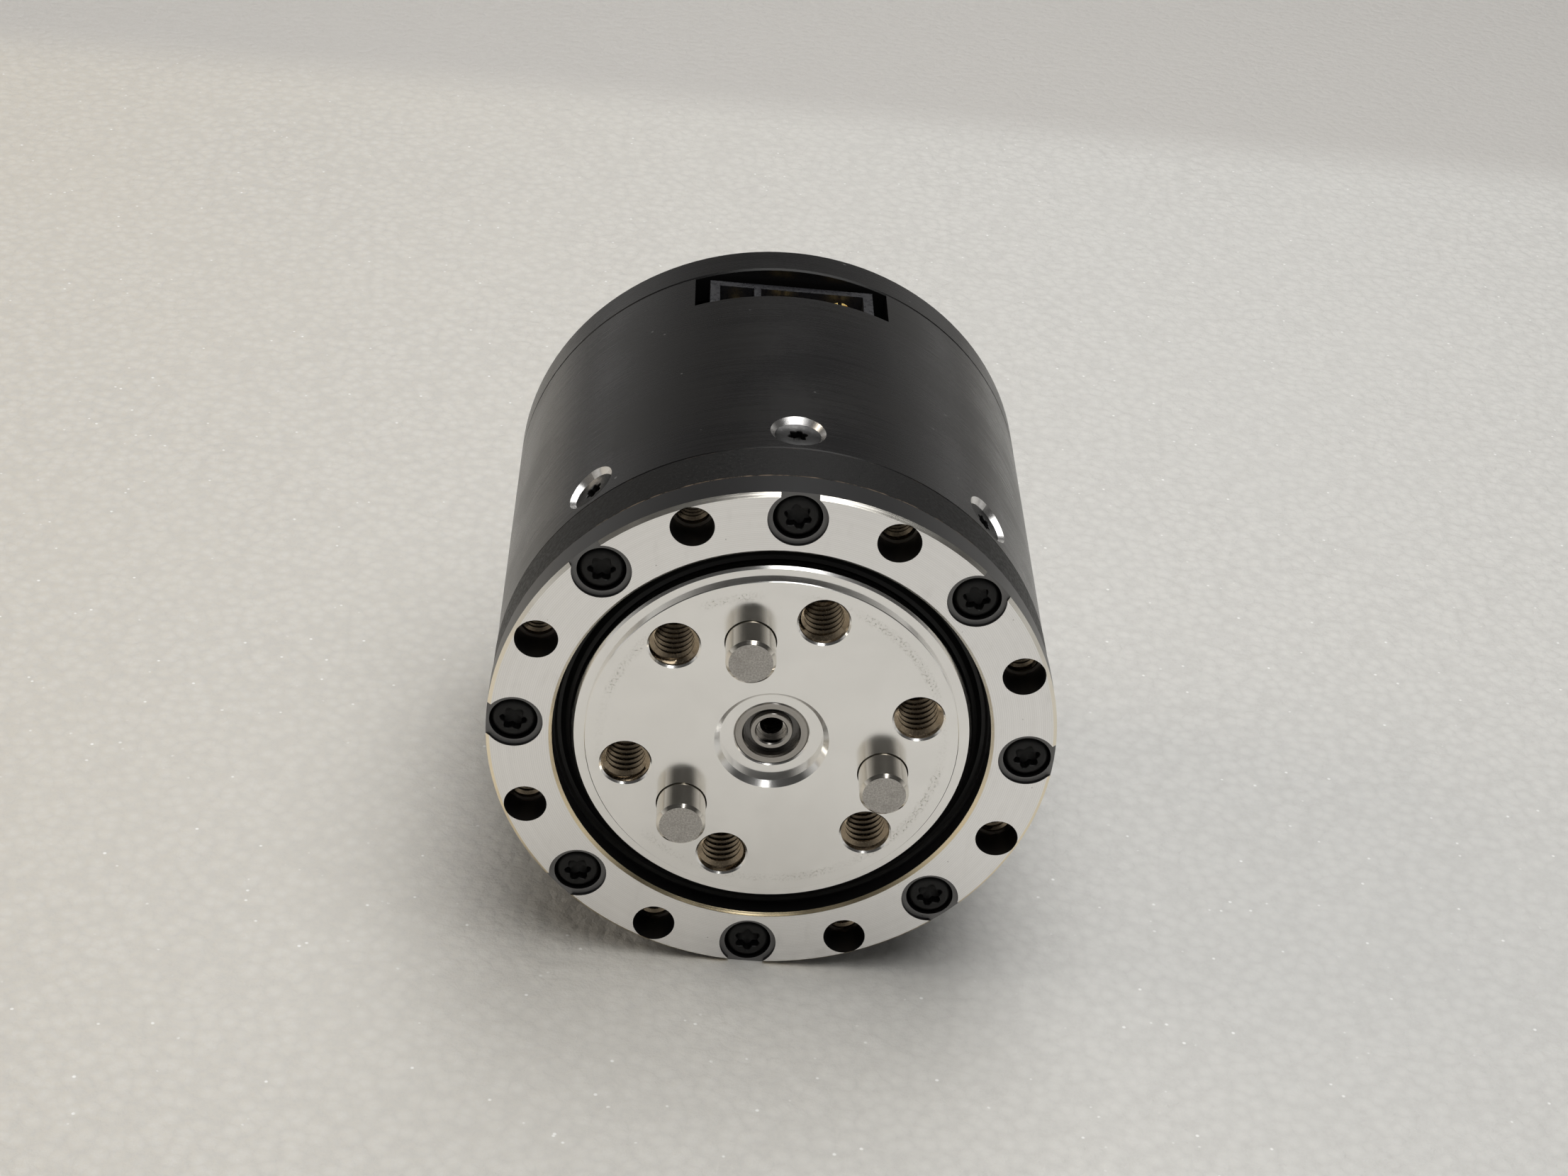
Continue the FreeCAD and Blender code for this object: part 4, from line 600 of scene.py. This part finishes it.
# ---------------------------------------------------------------- screws
DRIVER_LOBES = 6
LOBE_SHARE = 0.72           # a recess's radius between its lobes, as a share of its radius
LOBE_ROUND = 0.75           # under 1 makes the lobes broader and the ribs between them sharper
LOBED_SEGMENTS = 72
RIM_BREAK = 0.05            # the rim of a recess is broken by this much
RECESS_FOOT = 0.22          # radius of the drilled foot, as a share of the recess's width
FOOT_DEPTHS = (0.12, 0.2)   # the foot lies this far under the lobes, at its rim and middle
TIP_BEVEL = 0.2
HEAD_EDGE = 0.06            # rounding at the foot of a button head
HEAD_SIDE = 0.42            # share of a button head's height that is its straight side
CROWN_SHARE = 0.30          # share of a button head's radius that its crown rounds off
CROWN_STEPS = 6
BUTTON_RECESS = 0.62        # depth of the recess as a share of a button head's height
FLAT_EDGE = (0.03, 0.08)    # drop and inset of a flat head's broken edge
FRONT_HEAD = 1.35           # height of the front screws' heads
FRONT_SHANK = 2.5
SMALL_SHANK = 2.0           # of the ring gear screws and the rear cover screws
COVER_HEAD = 3.6
COVER_SCREWS = 4
DRIVER_SEED = 4


def six_lobes(across):
    """Radius of a six-lobed driver recess as a function of angle."""
    outer = across / 2
    inner = outer * LOBE_SHARE

    def reach(angle):
        lobe = 0.5 + 0.5 * math.cos(DRIVER_LOBES * angle)
        return inner + (outer - inner) * lobe ** LOBE_ROUND
    return reach


def recess_rings(across, top, depth):
    """Rings down a six-lobed recess, from its lightly broken rim to its drilled foot."""
    lobes = six_lobes(across)
    foot = top - depth
    return [(lambda angle: lobes(angle) + RIM_BREAK, top), (lobes, top - RIM_BREAK),
            (lobes, foot), (across * RECESS_FOOT, foot - FOOT_DEPTHS[0]),
            (0, foot - FOOT_DEPTHS[1])]


def shank_rings(shank, length, top):
    """Rings from a screw's tip to the top of its shank."""
    return [(0, -length), (shank / 2 - TIP_BEVEL, -length), (shank / 2, -length + TIP_BEVEL),
            (shank / 2, top)]


def button_screw(head, tall, shank, length, across):
    """A button head screw standing on its seat at height 0."""
    radius = head / 2
    crown = [(radius - HEAD_EDGE, 0.0), (radius, HEAD_EDGE), (radius, tall * HEAD_SIDE)]
    for i in range(1, CROWN_STEPS + 1):
        swing = math.pi / 2 * i / CROWN_STEPS
        crown.append((radius - radius * CROWN_SHARE * (1 - math.cos(swing)),
                      tall * HEAD_SIDE + tall * (1 - HEAD_SIDE) * math.sin(swing)))
    recess = recess_rings(across, tall, tall * BUTTON_RECESS)
    return lathe(shank_rings(shank, length, 0.0) + crown + recess, LOBED_SEGMENTS)


def flat_screw(head, shank, length, across, depth):
    """A countersunk screw whose flat top is at height 0."""
    drop, inset = FLAT_EDGE
    top = [(head / 2 - drop, -drop), (head / 2 - inset, 0.0)]
    rings = shank_rings(shank, length, -(head - shank) / 2) + top
    return lathe(rings + recess_rings(across, 0.0, depth), LOBED_SEGMENTS)


def add_screws():
    """Screws with six-lobed recesses, in the places of the CAD's plain ones."""
    seed = random.Random(DRIVER_SEED)

    def pattern(name, replaced, screw, count, place, first=0.0):
        """Equal screws about the axis, each with its recess turned at random."""
        parts = []
        for i in range(count):
            driver = Matrix.Rotation(seed.uniform(0, 2 * math.pi / DRIVER_LOBES), 4, "Z")
            parts.append(moved(screw, place(first + FULL_TURN * i / count) @ driver))
        make_piece(name, parts, "oxide", "housing", [replaced])

    low, high = span("front_screws", 1)
    reach = [math.hypot(vertex.co.x, vertex.co.z) / MM
             for vertex in nodes["front_screws"].data.vertices]
    circle = (min(reach) + max(reach)) / 2
    seat = low + FRONT_HEAD
    button = button_screw(max(reach) - min(reach), FRONT_HEAD, FRONT_SHANK, high - seat,
                          across=2.2)
    pattern("front_screws_torx", "front_screws", button, MOUNT_COUNT,
            lambda angle: stand(TO_FRONT, circle, angle, seat))

    top = span("ring_gear_screws", 2)[1]
    low, high = span("ring_gear_screws", 1)
    middle = (low + high) / 2
    radial = flat_screw(high - low, SMALL_SHANK, length=2.7, across=1.65, depth=0.6)
    pattern("housing_screws_torx", "ring_gear_screws", radial, MOUNT_COUNT,
            lambda angle: stand(OUTWARD, top, angle, middle))

    low, rear = span("rear_cover_screws", 1)
    corner = span("rear_cover_screws", 2)[1]
    cover_circle = (corner - COVER_HEAD / 2) * math.sqrt(2)
    flat = flat_screw(COVER_HEAD, SMALL_SHANK, rear - low, across=1.75, depth=0.7)
    pattern("cover_screws_torx", "rear_cover_screws", flat, COVER_SCREWS,
            lambda angle: stand(TO_REAR, cover_circle, angle, rear), first=45.0)


# ---------------------------------------------------------------- threads
THREAD_DEPTH = 0.54         # height of a ridge, as a share of the pitch
THREAD_ROOT = 0.44          # half its width at its root, likewise
THREAD_CREST = 0.12         # and at its crest
THREAD_END = 0.05           # its height where it runs out, as a share of its full height
THREAD_SINK = 0.02          # its root lies this far inside the wall
THREAD_SEGMENTS = 36        # in one turn
M3_MAJOR = 1.5              # radius
M3_PITCH, M4_PITCH = 0.5, 0.7
M3_ENDS = (-4.0, -0.25)     # the deepest and the outermost turn, from the mouth of the hole
M4_ENDS = (-6.0, -0.45)


def thread_ridge(major, pitch, start, end):
    """The helical ridge of an inner thread, along +Z from start to end."""
    root, crest = pitch * THREAD_ROOT, pitch * THREAD_CREST
    sections = int((end - start) / pitch * THREAD_SEGMENTS)
    run_out = THREAD_SEGMENTS / 2
    points, faces = [], []
    for i in range(sections + 1):
        angle = 2 * math.pi * i / THREAD_SEGMENTS
        height = start + (end - start) * i / sections
        fade = min(1.0, i / run_out, (sections - i) / run_out)
        outer = major + THREAD_SINK
        inner = major - THREAD_DEPTH * pitch * (THREAD_END + (1 - THREAD_END) * fade)
        for radius, shift in ((outer, -root), (inner, -crest), (inner, crest), (outer, root)):
            points.append(Vector((radius * math.sin(angle), radius * math.cos(angle),
                                  height + shift)))
    for i in range(sections):
        for k in range(4):
            a, b = 4 * i + k, 4 * i + (k + 1) % 4
            faces.append([a, b, b + 4, a + 4])
    faces.append([0, 3, 2, 1])
    faces.append([4 * sections + k for k in range(4)])
    return points, faces


def add_threads():
    """Ridges of the mounting holes' threads behind the plate, and of the flange's threads."""

    def pattern(name, ridge, body, count, radius, first=0.0, station=0.0):
        """Equal threads about the axis, each half a step on from the one named first."""
        step = FULL_TURN / count
        parts = [moved(ridge, stand(TO_FRONT, radius, first + step * (i + 0.5), station))
                 for i in range(count)]
        make_piece(name, parts, "thread", body, smooth=50)

    pattern("mount_threads", thread_ridge(M3_MAJOR, M3_PITCH, *M3_ENDS), "housing",
            MOUNT_COUNT, MOUNT_RADIUS, station=PLATE_REAR)
    pattern("output_threads", thread_ridge(OUTPUT_THREAD, M4_PITCH, *M4_ENDS), "output",
            OUTPUT_COUNT, OUTPUT_RADIUS, first=PIN_ANGLE)


add_screws()
add_threads()


# ---------------------------------------------------------------- floor, light and camera
FLOOR_HALF = 1600.0
FAR_STRIP = (178.0, 196.0)          # the foam ends here, and a plain bench begins
PAINTED_WARM_SIDE = (-120.0, 60.0)          # painted warm light: the floor's colour turns warm between these places, beside the warm lamp
LAMPS = (                           # name, place, target, size, watts, colour
    ("softbox", (60, -60, 560), (0, 0, 0), 520, 2.45, (1.0, 0.995, 0.98)),
    ("window", (60, 330, 520), (0, 230, 0), 380, 1.5, (1.0, 0.995, 0.985)),
    ("warm_side", (-420, 60, 240), (0, 20, 0), 220, 0.5, (1.0, 0.90, 0.76)),
)
SKY = (                             # height on the world's sphere, and colour there
    (0.0, (0.66, 0.65, 0.63, 1.0)),
    (0.10, (0.50, 0.49, 0.47, 1.0)),
    (0.42, (0.055, 0.054, 0.052, 1.0)),
)
CAMERA_PLACE = Vector((-1.4, -190.7, 133.5))
CAMERA_AZIMUTH = math.radians(-0.72)            # it looks along +Y, turned by this about Z
CAMERA_ELEVATION = math.radians(31.96)          # and down by this
CAMERA_LENS = 66.3
CAMERA_SENSOR = 36.0
CAMERA_CLIP = (10.0, 10000.0)
BODY_ROLL = math.radians(5.75)      # the actuator lies rolled about its axis by this much


def add_floor():
    """Sheet of white packing foam: fine closed cells with small glints."""
    shader = Shader("white_foam", Metallic=0.0, IOR=1.45)
    cells = shader.cells(0.75)
    fine = shader.noise(1.3, detail=6.0, roughness=0.7)
    wide = shader.noise(0.02, detail=2.0)
    cell = shader.mix(shader.ramp(cells, 0.15, 0.75), (0.70, 0.69, 0.665, 1.0),
                      (0.585, 0.575, 0.555, 1.0))
    # painted warm light: the floor's colour is warm towards the left
    warm = shader.mix(shader.ramp(shader.x, *PAINTED_WARM_SIDE), (0.655, 0.615, 0.545, 1.0),
                      (0.68, 0.675, 0.655, 1.0))
    glint = shader.times(shader.fall(shader.cells(0.62), 0.05, 0.13),
                         shader.ramp(shader.noise(0.31, detail=1.0), 0.52, 0.60))
    colour = shader.mix(shader.ramp(fine, 0.35, 0.65, 0.25, 0.75), cell, warm)
    # painted warm light, also spread in broad patches
    colour = shader.mix(shader.spread(wide, 0.0, 0.25), colour, warm)
    colour = shader.mix(glint, colour, (0.93, 0.93, 0.92, 1.0))
    colour = shader.mix(shader.ramp(shader.y, *FAR_STRIP), colour, (0.56, 0.545, 0.525, 1.0))
    height = shader.plus(shader.times(cells, -0.8), fine)
    mesh = bpy.data.meshes.new("foam_floor")
    half = FLOOR_HALF * MM
    mesh.from_pydata([(x * half, y * half, FLOOR * MM) for x, y in
                      ((-1, -1), (1, -1), (1, 1), (-1, 1))], [], [(0, 1, 2, 3)])
    mesh.materials.append(shader.set(Base_Color=colour, Roughness=shader.spread(fine, 0.4, 0.65),
                                     Normal=shader.bump(height, 0.35, 0.6)))
    link("foam_floor", mesh)


def add_lamp(name, place, target, size, power, colour):
    """A square area lamp; place, target and size in millimetres, power in watts."""
    data = bpy.data.lights.new(name, "AREA")
    data.shape = "SQUARE"
    data.size = size * MM
    data.energy = power
    data.color = colour
    lamp = link(name, data)
    lamp.location = Vector(place) * MM
    aim = Vector(target) - Vector(place)
    lamp.rotation_euler = aim.to_track_quat("-Z", "Y").to_euler()


def add_light():
    """A room that is pale at the horizon and dim overhead, and three soft lamps."""
    world = bpy.data.worlds.new("soft_room")
    world.use_nodes = True
    bpy.context.scene.world = world
    tree = world.node_tree
    coords = tree.nodes.new("ShaderNodeTexCoord")
    parts = tree.nodes.new("ShaderNodeSeparateXYZ")
    ramp = tree.nodes.new("ShaderNodeValToRGB")
    tree.links.new(coords.outputs["Generated"], parts.inputs["Vector"])
    tree.links.new(parts.outputs["Z"], ramp.inputs["Fac"])
    tree.links.new(ramp.outputs["Color"], tree.nodes["Background"].inputs["Color"])
    stops = ramp.color_ramp.elements
    for (position, _), stop in zip((SKY[0], SKY[-1]), stops):
        stop.position = position
    stops.new(SKY[1][0])
    for (_, colour), stop in zip(SKY, stops):
        stop.color = colour
    for lamp in LAMPS:
        add_lamp(*lamp)


def add_camera():
    """Looks down at the front face from ahead."""
    data = bpy.data.cameras.new("camera")
    data.sensor_width = CAMERA_SENSOR
    data.lens = CAMERA_LENS
    data.clip_start, data.clip_end = (distance * MM for distance in CAMERA_CLIP)
    camera = link("camera", data)
    bpy.context.scene.camera = camera
    level = math.cos(CAMERA_ELEVATION)
    ahead = Vector((-math.sin(CAMERA_AZIMUTH) * level, math.cos(CAMERA_AZIMUTH) * level,
                    -math.sin(CAMERA_ELEVATION)))
    right = Vector((math.cos(CAMERA_AZIMUTH), math.sin(CAMERA_AZIMUTH), 0.0))
    pose = Matrix((right, right.cross(ahead), -ahead)).transposed().to_4x4()
    pose.translation = CAMERA_PLACE * MM
    camera.matrix_world = Matrix.Rotation(-BODY_ROLL, 4, "Y") @ pose


add_floor()
add_light()
add_camera()
bpy.context.scene.view_settings.view_transform = "Standard"
